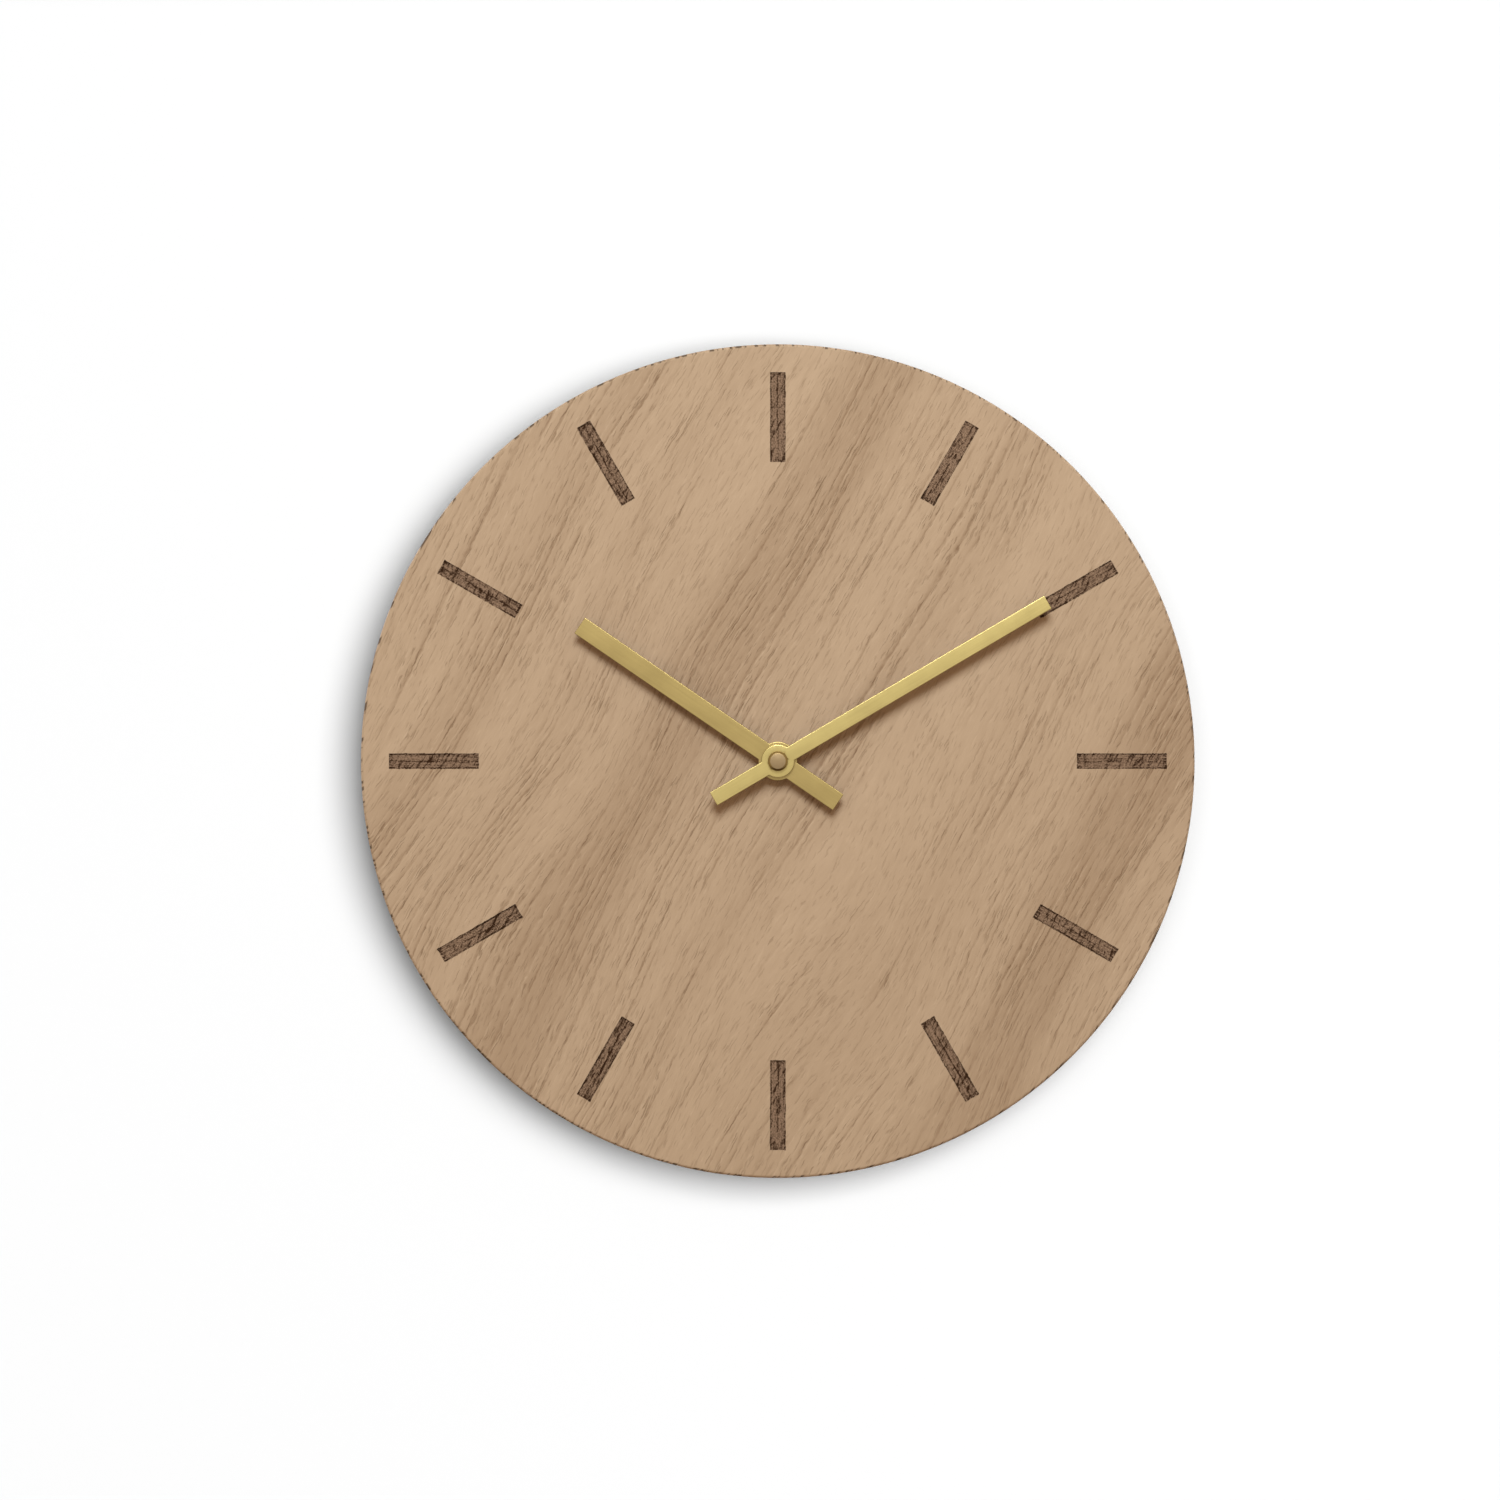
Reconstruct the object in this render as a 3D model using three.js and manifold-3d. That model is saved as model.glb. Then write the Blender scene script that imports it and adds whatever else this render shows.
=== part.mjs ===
// A round solid-oak wall clock with engraved hour marks and two brass hands, driven by a battery
// quartz movement that sits in a pocket routed into the back of the dial.
//
// The whole clock is drawn as it is seen on the wall: X to the right, Y up and Z towards the viewer,
// in millimetres, with Z = 0 on the wall and the hands' axis at X = Y = 0. The last lines stand that
// drawing upright, so that Z points up and the dial faces -Y, and move the origin to the point where
// the wall screw carries the hanger.

import * as THREE from 'three';
import { mergeVertices } from 'three/addons/utils/BufferGeometryUtils.js';
import Module from 'manifold-3d';

const wasm = await Module();
wasm.setup();

// Oak dial
const DIAL_DIAMETER = 280;
const DIAL_EDGE_ROUND = 1;
const FRONT_WEB = 3.5; // oak left between the movement pocket and the dial face
const POCKET_CLEARANCE = 1; // around the movement
const MARK_COUNT = 12;
const MARK_LENGTH = 30;
const MARK_WIDTH = 5;
const MARK_DEPTH = 0.4;
const MARK_MARGIN = 9.5; // from the rim to the outer end of a mark

// Hands, with angles clockwise from twelve
const MINUTE_HAND_LENGTH = 105;
const MINUTE_HAND_TAIL = 25;
const MINUTE_HAND_WIDTH = 5;
const MINUTE_HAND_ANGLE = 59.5;
const MINUTE_HUB_DIAMETER = 11;
const HOUR_HAND_LENGTH = 80.5;
const HOUR_HAND_TAIL = 24.5;
const HOUR_HAND_WIDTH = 6.4;
const HOUR_HAND_ANGLE = 304.4;
const HOUR_HUB_DIAMETER = 13;
const HAND_THICKNESS = 0.8;
const HAND_EDGE_BEVEL = 0.12;
const BUSH_COLLAR = 0.5; // thickness of the collar behind each hand
const BUSH_WALL = 0.6; // wall of the spigot that is riveted through each hand
const BUSH_COLLAR_WIDTH = 1.5; // how far the collar reaches past the spigot
const CAP_NUT_WALL = 1.55;
const CAP_NUT_HEIGHT = 2.2;
const CAP_NUT_ROOF = 0.7; // over the end of the minute pipe
const CAP_NUT_CHAMFER = 0.5;

// Centre fixing
const BUSHING_WALL = 1.35;
const BUSHING_FLANGE_WIDTH = 2.5;
const BUSHING_FLANGE = 0.8;
const RUBBER_WASHER_THICKNESS = 0.8;
const RUBBER_WASHER_WIDTH = 4.8;
const DIAL_WASHER_THICKNESS = 0.5;
const DIAL_WASHER_WIDTH = 1.6;
const FIXING_NUT_HEIGHT = 2;
const FIXING_NUT_WALL = 1; // from the thread to a flat

// Pipes and arbors on the hands' axis, as radii
const SECOND_ARBOR_RADIUS = 0.5;
const MINUTE_PIPE_WALL = 0.95;
const HOUR_PIPE_WALL = 0.6;

// Wheels and pinions: teeth, and the distances between their axes, which set the size of the teeth
const CANNON_TEETH = 10;
const MINUTE_WHEEL_TEETH = 30;
const MINUTE_PINION_TEETH = 8;
const HOUR_WHEEL_TEETH = 32;
const SETTING_PINION_TEETH = 10;
const CENTRE_WHEEL_TEETH = 48;
const THIRD_PINION_TEETH = 6;
const THIRD_WHEEL_TEETH = 45;
const SECOND_PINION_TEETH = 6;
const SECOND_WHEEL_TEETH = 48;
const INTERMEDIATE_PINION_TEETH = 8;
const INTERMEDIATE_WHEEL_TEETH = 30;
const ROTOR_PINION_TEETH = 6;
const ARBOR_DISTANCE = 9.1; // from the hands' axis to each arbor that is geared to it
const ROTOR_DISTANCE = 7.2; // from the intermediate wheel to the rotor
const WHEEL_THICKNESS = 1.1;
const WHEEL_GAP = 0.4; // between one layer of wheels and the next
const ARBOR_RADIUS = 0.5;
const PIVOT_RADIUS = 0.35;
const MINUTE_POST_RADIUS = 0.7; // the post on which the minute wheel turns
const WEB_HOLES = 3; // round holes that lighten a large wheel
const WEB_HOLE_SHARE = 0.22; // their radius, as a share of the web between hub and teeth

// Where the axes lie, as directions counter-clockwise from X
const MINUTE_WHEEL_DIRECTION = -19; // from the hands' axis
const SETTING_DIRECTION = 41; // from the minute wheel
const THIRD_WHEEL_DIRECTION = 180; // from the hands' axis
const INTERMEDIATE_DIRECTION = 107; // from the hands' axis
const ROTOR_DIRECTION = 40; // from the intermediate wheel
const LOWER_LEFT_PILLAR = 229; // from the third wheel
const UPPER_LEFT_PILLAR = 124; // from the third wheel
const LOWER_RIGHT_PILLAR = -34; // from the minute wheel
const UPPER_RIGHT_PILLAR = 45; // from the hands' axis

// Motor
const MAGNET_RADIUS = 2.6;
const MAGNET_LENGTH = 3;
const STATOR_THICKNESS = 1;
const STATOR_RIM = 1.3; // iron left round the rotor hole
const STATOR_LEG = 4.2;
const STATOR_NOTCH = 0.65; // radius of the two notches that set the rotor's rest position
const STATOR_NOTCH_DIRECTION = 60;
const COIL_LENGTH = 21;
const COIL_END_GAP = 1.3; // from the bobbin to each leg of the stator
const COIL_RADIUS = 3.4;
const COIL_CORE_WIDTH = 3;
const BOBBIN_WALL = 0.5;
const BOBBIN_FLANGE = 1;

// Electronics and battery
const BOARD_WIDTH = 7.5;
const BOARD_LENGTH = 20;
const BOARD_THICKNESS = 1;
const BOARD_POST_INSET = 4; // from each end of the board
const CHIP_RISE = 8.4; // from the board's lower end
const CHIP_RADIUS = 2.4;
const CHIP_HEIGHT = 0.9;
const CRYSTAL_RISE = 15; // from the board's lower end
const CRYSTAL_RADIUS = 1.05;
const CRYSTAL_LENGTH = 6;
const BATTERY_DIAMETER = 14.2;
const BATTERY_LENGTH = 50.2; // with its nub
const BATTERY_NUB_LENGTH = 1.2;
const BATTERY_NUB_DIAMETER = 5.4;
const BATTERY_EDGE = 0.6; // chamfer at each end of the can
const CONTACT_THICKNESS = 0.4;
const CONTACT_WIDTH = 3;
const CONTACT_ROOM = 1.5; // at each end of the battery
const CONTACT_BOW = 7.1; // height of the bowed spring against the battery's flat end

// Movement case
const CASE_WALL = 1.4;
const CASE_FLOOR = 1.5;
const BAY_FLOOR = 0.8;
const CASE_CORNER = 6;
const BAY_CORNER = 2.3;
const CRADLE_RIB = 1.2; // thickness of the ribs that hold the battery
const CRADLE_SPACING = 26;
const CRADLE_DEPTH = 2.5; // from the battery's axis down to the ribs' edges
const THUMB_NOTCH_RADIUS = 7; // in the bay's lower wall
const COVER_THICKNESS = 1.3;
const COVER_CLIP_WIDTH = 6;
const COVER_CLIP_DEPTH = 4;
const COVER_CLIP_NOSE = 0.7; // how far each clip snaps into its window
const COVER_NOSE_HEIGHT = 1.4;
const BRIDGE_THICKNESS = 1.2;
const PILLAR_RADIUS = 1.5;
const PEG_RADIUS = 0.75; // on each pillar, through the bridge
const KNOB_RADIUS = 6;
const KNOB_THICKNESS = 2.1;
const KNOB_PROUD = 0.8; // of the rear cover
const KNOB_RIBS = 18;
const KNOB_RIB_DEPTH = 0.35;
const KNOB_RIM = 1.5;
const KNOB_DISH = 0.35; // depth of the hollow inside the rim
const KNOB_FACE = 0.7; // from the rim's face in to the end of the stem
const SETTING_STEM_RADIUS = 1.5;

// Hanger
const HANGER_MARGIN = 27.5; // from the dial's rim down to the plate
const HANGER_LENGTH = 44;
const HANGER_WIDTH = 16;
const HANGER_THICKNESS = 1.2;
const KEYHOLE_ENTRY = 9.5;
const KEYHOLE_SLOT = 5;
const KEYHOLE_DROP = 9; // from the slot's end to the entry's centre
const HEAD_ROOM_DEPTH = 8; // routed behind the plate for the wall screw's head
const HANGER_SCREW_SPACING = 34;
const HANGER_SCREW_RADIUS = 1.75;
const HANGER_SCREW_HEAD = 3.3; // head radius
const HANGER_SCREW_LENGTH = 12;

// Clearances
const SEAT = 0.1; // between faces that are pressed or clamped together
const RUN = 0.2; // round a part that turns
const SHAKE = 0.3; // end play of a part that turns
const WALL_GAP = 0.4; // between the wall and what stands nearest to it
const OVERCUT = 1; // how far a cut runs past the face that it opens

// Fineness of round forms
const DIAL_SIDES = 80;
const PIPE_SIDES = 20;
const PIN_SIDES = 10;
const WEB_HOLE_SIDES = 8;
const ARC_SEGMENTS = 4;
const RIM_SEGMENTS = 2;

// Heights along the hands' axis, from the wall. The battery or the stack of wheels, whichever is
// deeper, sets the depth of the movement, and that sets the thickness of the oak.
const HOUR_LAYER = 0;
const MINUTE_LAYER = 1;
const CENTRE_LAYER = 2;
const THIRD_LAYER = 3;
const SECOND_LAYER = 4;
const INTERMEDIATE_LAYER = 5;
const layerPitch = WHEEL_THICKNESS + WHEEL_GAP;
const wheelStack = INTERMEDIATE_LAYER * layerPitch + WHEEL_THICKNESS;
const knobBack = WALL_GAP;
const knobFront = knobBack + KNOB_THICKNESS;
const knobWellFloor = knobFront + RUN;
const coverBack = knobBack + KNOB_PROUD;
const coverFront = coverBack + COVER_THICKNESS;
const batteryDepth = WALL_GAP + BATTERY_DIAMETER + SEAT + BAY_FLOOR;
const wheelDepth = coverFront + 2 * SHAKE + BRIDGE_THICKNESS + WHEEL_GAP + wheelStack + CASE_FLOOR;
const caseFront = Math.max(batteryDepth, wheelDepth);
const caseBack = coverBack;
const chamberFloor = caseFront - CASE_FLOOR;
const layerFront = (layer) => chamberFloor - SHAKE - layer * layerPitch;
const layerBack = (layer) => layerFront(layer) - WHEEL_THICKNESS;
const bridgeFront = layerBack(INTERMEDIATE_LAYER) - WHEEL_GAP;
const bridgeBack = bridgeFront - BRIDGE_THICKNESS;
const batteryAxisHeight = caseFront - BAY_FLOOR - SEAT - BATTERY_DIAMETER / 2;
const bobbinHalf = COIL_RADIUS + BOBBIN_WALL;
const coilHeight = chamberFloor - SHAKE - bobbinHalf;
const coreBack = coilHeight - STATOR_THICKNESS / 2;
const statorFront = coreBack - SEAT;
const statorBack = statorFront - STATOR_THICKNESS;
const boardBack = layerFront(THIRD_LAYER) - BOARD_THICKNESS / 2;
const boardFront = boardBack + BOARD_THICKNESS;
const contactFront = boardBack - SEAT;
const contactBack = contactFront - CONTACT_WIDTH;
const pocketFloor = caseFront + SEAT + RUBBER_WASHER_THICKNESS + SEAT;
const dialFace = pocketFloor + FRONT_WEB;

// Heights in front of the dial face
const washerBack = dialFace + SEAT;
const nutBack = washerBack + DIAL_WASHER_THICKNESS + SEAT;
const bushingFront = nutBack + FIXING_NUT_HEIGHT + SHAKE;
const hourCollarBack = bushingFront + SHAKE;
const hourHandBack = hourCollarBack + BUSH_COLLAR + SEAT;
const hourHandFront = hourHandBack + HAND_THICKNESS;
const minuteCollarBack = hourHandFront + SHAKE;
const minuteHandBack = minuteCollarBack + BUSH_COLLAR + SEAT;
const minuteHandFront = minuteHandBack + HAND_THICKNESS;
const capNutBack = minuteHandFront + SEAT;
const capNutFront = capNutBack + CAP_NUT_HEIGHT;
const capNutBottom = capNutFront - CAP_NUT_ROOF;

// Radii of the nested pipes, from the second arbor outwards
const minutePipeBore = SECOND_ARBOR_RADIUS + RUN;
const minutePipeRadius = minutePipeBore + MINUTE_PIPE_WALL;
const hourPipeBore = minutePipeRadius + RUN;
const hourPipeRadius = hourPipeBore + HOUR_PIPE_WALL;
const bushingBore = hourPipeRadius + RUN;
const bushingRadius = bushingBore + BUSHING_WALL;
const bushingHole = bushingRadius + RUN;
const bushingFlange = bushingRadius + BUSHING_FLANGE_WIDTH;

// Tooth proportions: height from the pitch circle in modules, and half width in shares of the tooth pitch
const WHEEL_TOOTH = [[-1.2, 0.38], [0.9, 0.1]];
const PINION_LEAF = [[-1.25, 0.18], [0, 0.18], [0.7, 0.09]];
const pitchRadius = (teeth, module) => (teeth * module) / 2;
const wheelTip = (teeth, module) => pitchRadius(teeth, module) + WHEEL_TOOTH[1][0] * module;
const pinionTip = (teeth, module) => pitchRadius(teeth, module) + PINION_LEAF[2][0] * module;
const meshModule = (teethA, teethB, distance) => (2 * distance) / (teethA + teethB);
const motionModule = meshModule(CANNON_TEETH, MINUTE_WHEEL_TEETH, ARBOR_DISTANCE);
const hourModule = meshModule(MINUTE_PINION_TEETH, HOUR_WHEEL_TEETH, ARBOR_DISTANCE);
const centreModule = meshModule(THIRD_PINION_TEETH, CENTRE_WHEEL_TEETH, ARBOR_DISTANCE);
const thirdModule = meshModule(SECOND_PINION_TEETH, THIRD_WHEEL_TEETH, ARBOR_DISTANCE);
const secondModule = meshModule(INTERMEDIATE_PINION_TEETH, SECOND_WHEEL_TEETH, ARBOR_DISTANCE);
const rotorModule = meshModule(ROTOR_PINION_TEETH, INTERMEDIATE_WHEEL_TEETH, ROTOR_DISTANCE);

// Axes of the wheels, in the plan seen from the front
const radians = THREE.MathUtils.degToRad;
const from = (centre, direction, distance) =>
  new THREE.Vector2(Math.cos(radians(direction)), Math.sin(radians(direction)))
    .multiplyScalar(distance)
    .add(centre);
const directionTo = (a, b) => Math.atan2(b.y - a.y, b.x - a.x);
const settingDistance = pitchRadius(SETTING_PINION_TEETH + MINUTE_WHEEL_TEETH, motionModule);
const centreAxis = new THREE.Vector2(0, 0);
const minuteWheelAxis = from(centreAxis, MINUTE_WHEEL_DIRECTION, ARBOR_DISTANCE);
const settingAxis = from(minuteWheelAxis, SETTING_DIRECTION, settingDistance);
const thirdAxis = from(centreAxis, THIRD_WHEEL_DIRECTION, ARBOR_DISTANCE);
const intermediateAxis = from(centreAxis, INTERMEDIATE_DIRECTION, ARBOR_DISTANCE);
const rotorAxis = from(intermediateAxis, ROTOR_DIRECTION, ROTOR_DISTANCE);
const minuteWheelTip = wheelTip(MINUTE_WHEEL_TEETH, motionModule);
const thirdTip = wheelTip(THIRD_WHEEL_TEETH, thirdModule);
const secondTip = wheelTip(SECOND_WHEEL_TEETH, secondModule);

// Pillars that carry the bridge, each set just outside the wheel that it stands beside
const pillarOffset = PILLAR_RADIUS + 2 * WHEEL_GAP;
const pillars = [
  from(thirdAxis, LOWER_LEFT_PILLAR, thirdTip + pillarOffset),
  from(minuteWheelAxis, LOWER_RIGHT_PILLAR, minuteWheelTip + pillarOffset),
  from(centreAxis, UPPER_RIGHT_PILLAR, secondTip + 2 * pillarOffset),
  from(thirdAxis, UPPER_LEFT_PILLAR, thirdTip + pillarOffset),
];

// Motor plan: the rotor hole in the stator, and the coil above it
const rotorHole = MAGNET_RADIUS + 3 * RUN;
const statorTop = rotorAxis.y + rotorHole + STATOR_RIM;
const statorHalf = COIL_LENGTH / 2 + COIL_END_GAP + STATOR_LEG;
const coilAxisY = statorTop + WHEEL_GAP + bobbinHalf;

// Case plan: a chamber for the wheels above a bay for the battery
const batteryBore = BATTERY_DIAMETER + 4 * RUN;
const boardReach = thirdTip - thirdAxis.x + WHEEL_GAP + BOARD_WIDTH + SHAKE;
const chamberHalfWidth = Math.max(BATTERY_LENGTH / 2 + CONTACT_ROOM, boardReach);
const lowestReach = Math.min(
  minuteWheelAxis.y - minuteWheelTip,
  thirdAxis.y - thirdTip,
  centreAxis.y - secondTip,
  ...pillars.map((axis) => axis.y - PILLAR_RADIUS),
);
const chamberBottom = lowestReach - 2 * SHAKE;
const chamberTop = coilAxisY + bobbinHalf + WHEEL_GAP;
const bayTop = chamberBottom - CASE_WALL;
const bayBottom = bayTop - batteryBore;
const caseBottom = bayBottom - CASE_WALL;
const caseTop = chamberTop + CASE_WALL;
const caseHalfWidth = chamberHalfWidth + CASE_WALL;
const batteryAxisY = (bayTop + bayBottom) / 2;
const boardRight = -chamberHalfWidth + BOARD_WIDTH + SHAKE;
const boardBottom = chamberBottom + RUN;

// Solids by boolean operations
function toSolid(geometry) {
  const bare = geometry.clone();
  bare.deleteAttribute('normal');
  bare.deleteAttribute('uv');
  const merged = mergeVertices(bare, 1e-4);
  return new wasm.Manifold(
    new wasm.Mesh({
      numProp: 3,
      vertProperties: merged.attributes.position.array,
      triVerts: new Uint32Array(merged.index.array),
    }),
  );
}

function toGeometry(solid) {
  const mesh = solid.getMesh();
  const geometry = new THREE.BufferGeometry();
  geometry.setAttribute('position', new THREE.BufferAttribute(mesh.vertProperties, 3));
  geometry.setIndex(new THREE.BufferAttribute(mesh.triVerts, 1));
  geometry.computeVertexNormals();
  return geometry;
}

const join = (first, ...others) =>
  toGeometry(others.reduce((body, other) => body.add(toSolid(other)), toSolid(first)));
const cut = (first, ...tools) =>
  toGeometry(tools.reduce((body, tool) => body.subtract(toSolid(tool)), toSolid(first)));

// Basic forms, all standing along Z
function prism(shape, back, front) {
  const depth = front - back;
  const options = { depth, bevelEnabled: false, curveSegments: ARC_SEGMENTS };
  return new THREE.ExtrudeGeometry(shape, options).translate(0, 0, back);
}

function turned(profile, sides = PIPE_SIDES) {
  const points = profile.map(([radius, height]) => new THREE.Vector2(radius, height));
  return new THREE.LatheGeometry(points, sides).rotateX(Math.PI / 2);
}

function rod(radius, back, front, axis = centreAxis, sides = PIN_SIDES) {
  const geometry = new THREE.CylinderGeometry(radius, radius, front - back, sides);
  return geometry.rotateX(Math.PI / 2).translate(axis.x, axis.y, (back + front) / 2);
}

function tube(outer, bore, back, front, sides = PIPE_SIDES) {
  const profile = [[bore, back], [outer, back], [outer, front], [bore, front], [bore, back]];
  return turned(profile, sides);
}

function block(left, right, bottom, top, back, front) {
  const geometry = new THREE.BoxGeometry(right - left, top - bottom, front - back);
  return geometry.translate((left + right) / 2, (bottom + top) / 2, (back + front) / 2);
}

// Rectangle with its lower and its upper corners rounded, or left square where the radius is 0
function roundedRectangle(left, right, bottom, top, lower, upper = lower) {
  const shape = new THREE.Shape();
  const corner = (x, y, radius, start) =>
    radius > 0 ? shape.absarc(x, y, radius, start, start + Math.PI / 2) : shape.lineTo(x, y);
  shape.moveTo(left + lower, bottom);
  corner(right - lower, bottom + lower, lower, -Math.PI / 2);
  corner(right - upper, top - upper, upper, 0);
  corner(left + upper, top - upper, upper, Math.PI / 2);
  if (lower > 0) corner(left + lower, bottom + lower, lower, Math.PI);
  return shape;
}

// Outline that runs round equal circles at the corners of a convex polygon, taken counter-clockwise
function roundedHull(corners, radius) {
  const shape = new THREE.Shape();
  corners.forEach((corner, i) => {
    const before = corners.at(i - 1);
    const after = corners[(i + 1) % corners.length];
    const start = directionTo(before, corner) - Math.PI / 2;
    const end = directionTo(corner, after) - Math.PI / 2;
    shape.absarc(corner.x, corner.y, radius, start, end);
  });
  return shape;
}

// Outline of a toothed wheel, with one tooth centred on the given direction
function toothedOutline(teeth, module, tooth, direction) {
  const pitch = (2 * Math.PI) / teeth;
  const flank = tooth.map(([height, half]) => [pitchRadius(teeth, module) + height * module, half]);
  const points = [];
  for (let i = 0; i < teeth; i++) {
    const middle = direction + i * pitch;
    const rising = flank.map(([radius, half]) => [radius, middle - half * pitch]);
    const falling = flank.map(([radius, half]) => [radius, middle + half * pitch]).reverse();
    for (const [radius, angle] of [...rising, ...falling]) {
      points.push(new THREE.Vector2(radius * Math.cos(angle), radius * Math.sin(angle)));
    }
  }
  return new THREE.Shape(points);
}

// A wheel or pinion in place. A pinion has a leaf towards its wheel, and the wheel a gap there.
function wheel(teeth, module, axis, mate, back, front) {
  const direction = directionTo(axis, mate) + Math.PI / teeth;
  const outline = toothedOutline(teeth, module, WHEEL_TOOTH, direction);
  return prism(outline, back, front).translate(axis.x, axis.y, 0);
}

function pinion(teeth, module, axis, mate, back, front) {
  const outline = toothedOutline(teeth, module, PINION_LEAF, directionTo(axis, mate));
  return prism(outline, back, front).translate(axis.x, axis.y, 0);
}

// Round holes in a wheel's web, midway between its hub and the roots of its teeth
function webHoles(teeth, module, hub, axis, layer) {
  const root = pitchRadius(teeth, module) + WHEEL_TOOTH[0][0] * module;
  const radius = (root - hub) * WEB_HOLE_SHARE;
  return Array.from({ length: WEB_HOLES }, (_, i) => {
    const hole = from(axis, (360 * i) / WEB_HOLES, (root + hub) / 2);
    return rod(radius, layerBack(layer) - OVERCUT, layerFront(layer) + OVERCUT, hole, WEB_HOLE_SIDES);
  });
}

// Pivots of an arbor that runs from the bridge to the case floor
const frontPivotEnd = chamberFloor + CASE_FLOOR / 2;
function arbor(axis, radius = ARBOR_RADIUS) {
  return join(
    rod(radius, bridgeFront + SHAKE, chamberFloor - SHAKE, axis),
    rod(PIVOT_RADIUS, bridgeBack + SHAKE, frontPivotEnd - RUN, axis),
  );
}

const pivotHole = (axis, back, front) => rod(PIVOT_RADIUS + RUN, back, front, axis);

// Finishes
const finish = (color, roughness, metalness) => ({ color, roughness, metalness });
const oak = finish(0xb59779, 0.65, 0);
const brass = finish(0xcdb475, 0.35, 1);
const steel = finish(0xb4b6b8, 0.35, 1);
const zincSteel = finish(0xc4c2b8, 0.45, 1);
const softIron = finish(0x8b8d90, 0.5, 1);
const magnet = finish(0x3c3c40, 0.45, 0.6);
const copper = finish(0xb06a3c, 0.4, 1);
const blackPlastic = finish(0x1d1d1f, 0.55, 0);
const whitePlastic = finish(0xe9e6dc, 0.5, 0);
const rubber = finish(0x222222, 0.9, 0);
const greenBoard = finish(0x2f6b45, 0.5, 0);
const blackEpoxy = finish(0x141416, 0.35, 0);
const batteryWrap = finish(0x3f6f8c, 0.4, 0.2);

const clock = new THREE.Group();
function piece(name, geometry, surface) {
  const mesh = new THREE.Mesh(geometry, new THREE.MeshStandardMaterial(surface));
  mesh.name = name;
  clock.add(mesh);
}

// Oak dial: turned disc, routed pocket, engraved marks, and the seat of the hanger
function oakDial() {
  const radius = DIAL_DIAMETER / 2;
  const edge = DIAL_EDGE_ROUND;
  const rim = [];
  for (let i = 0; i <= RIM_SEGMENTS; i++) {
    const turn = (i / RIM_SEGMENTS) * (Math.PI / 2);
    rim.push([radius - edge + edge * Math.sin(turn), edge - edge * Math.cos(turn)]);
  }
  const frontRim = rim.map(([r, height]) => [r, dialFace - height]).reverse();
  const disc = turned([[0, 0], ...rim, ...frontRim, [0, dialFace]], DIAL_SIDES);

  const reach = caseHalfWidth + POCKET_CLEARANCE;
  const pocket = roundedRectangle(
    -reach,
    reach,
    caseBottom - POCKET_CLEARANCE,
    caseTop + POCKET_CLEARANCE,
    CASE_CORNER + POCKET_CLEARANCE,
  );
  const markOuter = radius - MARK_MARGIN;
  const marks = Array.from({ length: MARK_COUNT }, (_, i) => {
    const mark = block(
      -MARK_WIDTH / 2,
      MARK_WIDTH / 2,
      markOuter - MARK_LENGTH,
      markOuter,
      dialFace - MARK_DEPTH,
      dialFace + MARK_DEPTH,
    );
    return mark.rotateZ((-2 * Math.PI * i) / MARK_COUNT);
  });
  return cut(
    disc,
    prism(pocket, -OVERCUT, pocketFloor),
    rod(bushingHole, 0, dialFace + OVERCUT, centreAxis, PIPE_SIDES),
    ...marks,
    ...hangerSeat(),
  );
}

// Hanger: a stamped keyhole plate, let in flush with the back and held by two countersunk screws
const plateBack = SEAT;
const plateFront = plateBack + HANGER_THICKNESS;
const plateMiddle = DIAL_DIAMETER / 2 - HANGER_MARGIN - HANGER_LENGTH / 2;
const hangRise = plateMiddle + KEYHOLE_DROP / 2; // from the hands' axis up to the hanging point
const plateScrews = [1, -1].map(
  (side) => new THREE.Vector2(0, plateMiddle + (side * HANGER_SCREW_SPACING) / 2),
);
const headCone = HANGER_THICKNESS - SEAT;

function upright(width, bottom, top) {
  const half = width / 2;
  return roundedRectangle(-half, half, bottom, top, half);
}

function hangerSeat() {
  const half = HANGER_LENGTH / 2 + SEAT;
  const plateOutline = upright(HANGER_WIDTH + 2 * SEAT, plateMiddle - half, plateMiddle + half);
  const headRoom = upright(
    KEYHOLE_ENTRY + 4 * RUN,
    hangRise - KEYHOLE_DROP - KEYHOLE_ENTRY / 2 - 2 * RUN,
    hangRise + KEYHOLE_ENTRY / 2 + 2 * RUN,
  );
  const pilots = plateScrews.map((axis) =>
    rod(HANGER_SCREW_RADIUS + SEAT, 0, HANGER_SCREW_LENGTH + SHAKE, axis),
  );
  const seatDepth = plateFront + SEAT;
  return [
    prism(plateOutline, -OVERCUT, seatDepth),
    prism(headRoom, 0, seatDepth + HEAD_ROOM_DEPTH),
    ...pilots,
  ];
}

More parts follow.
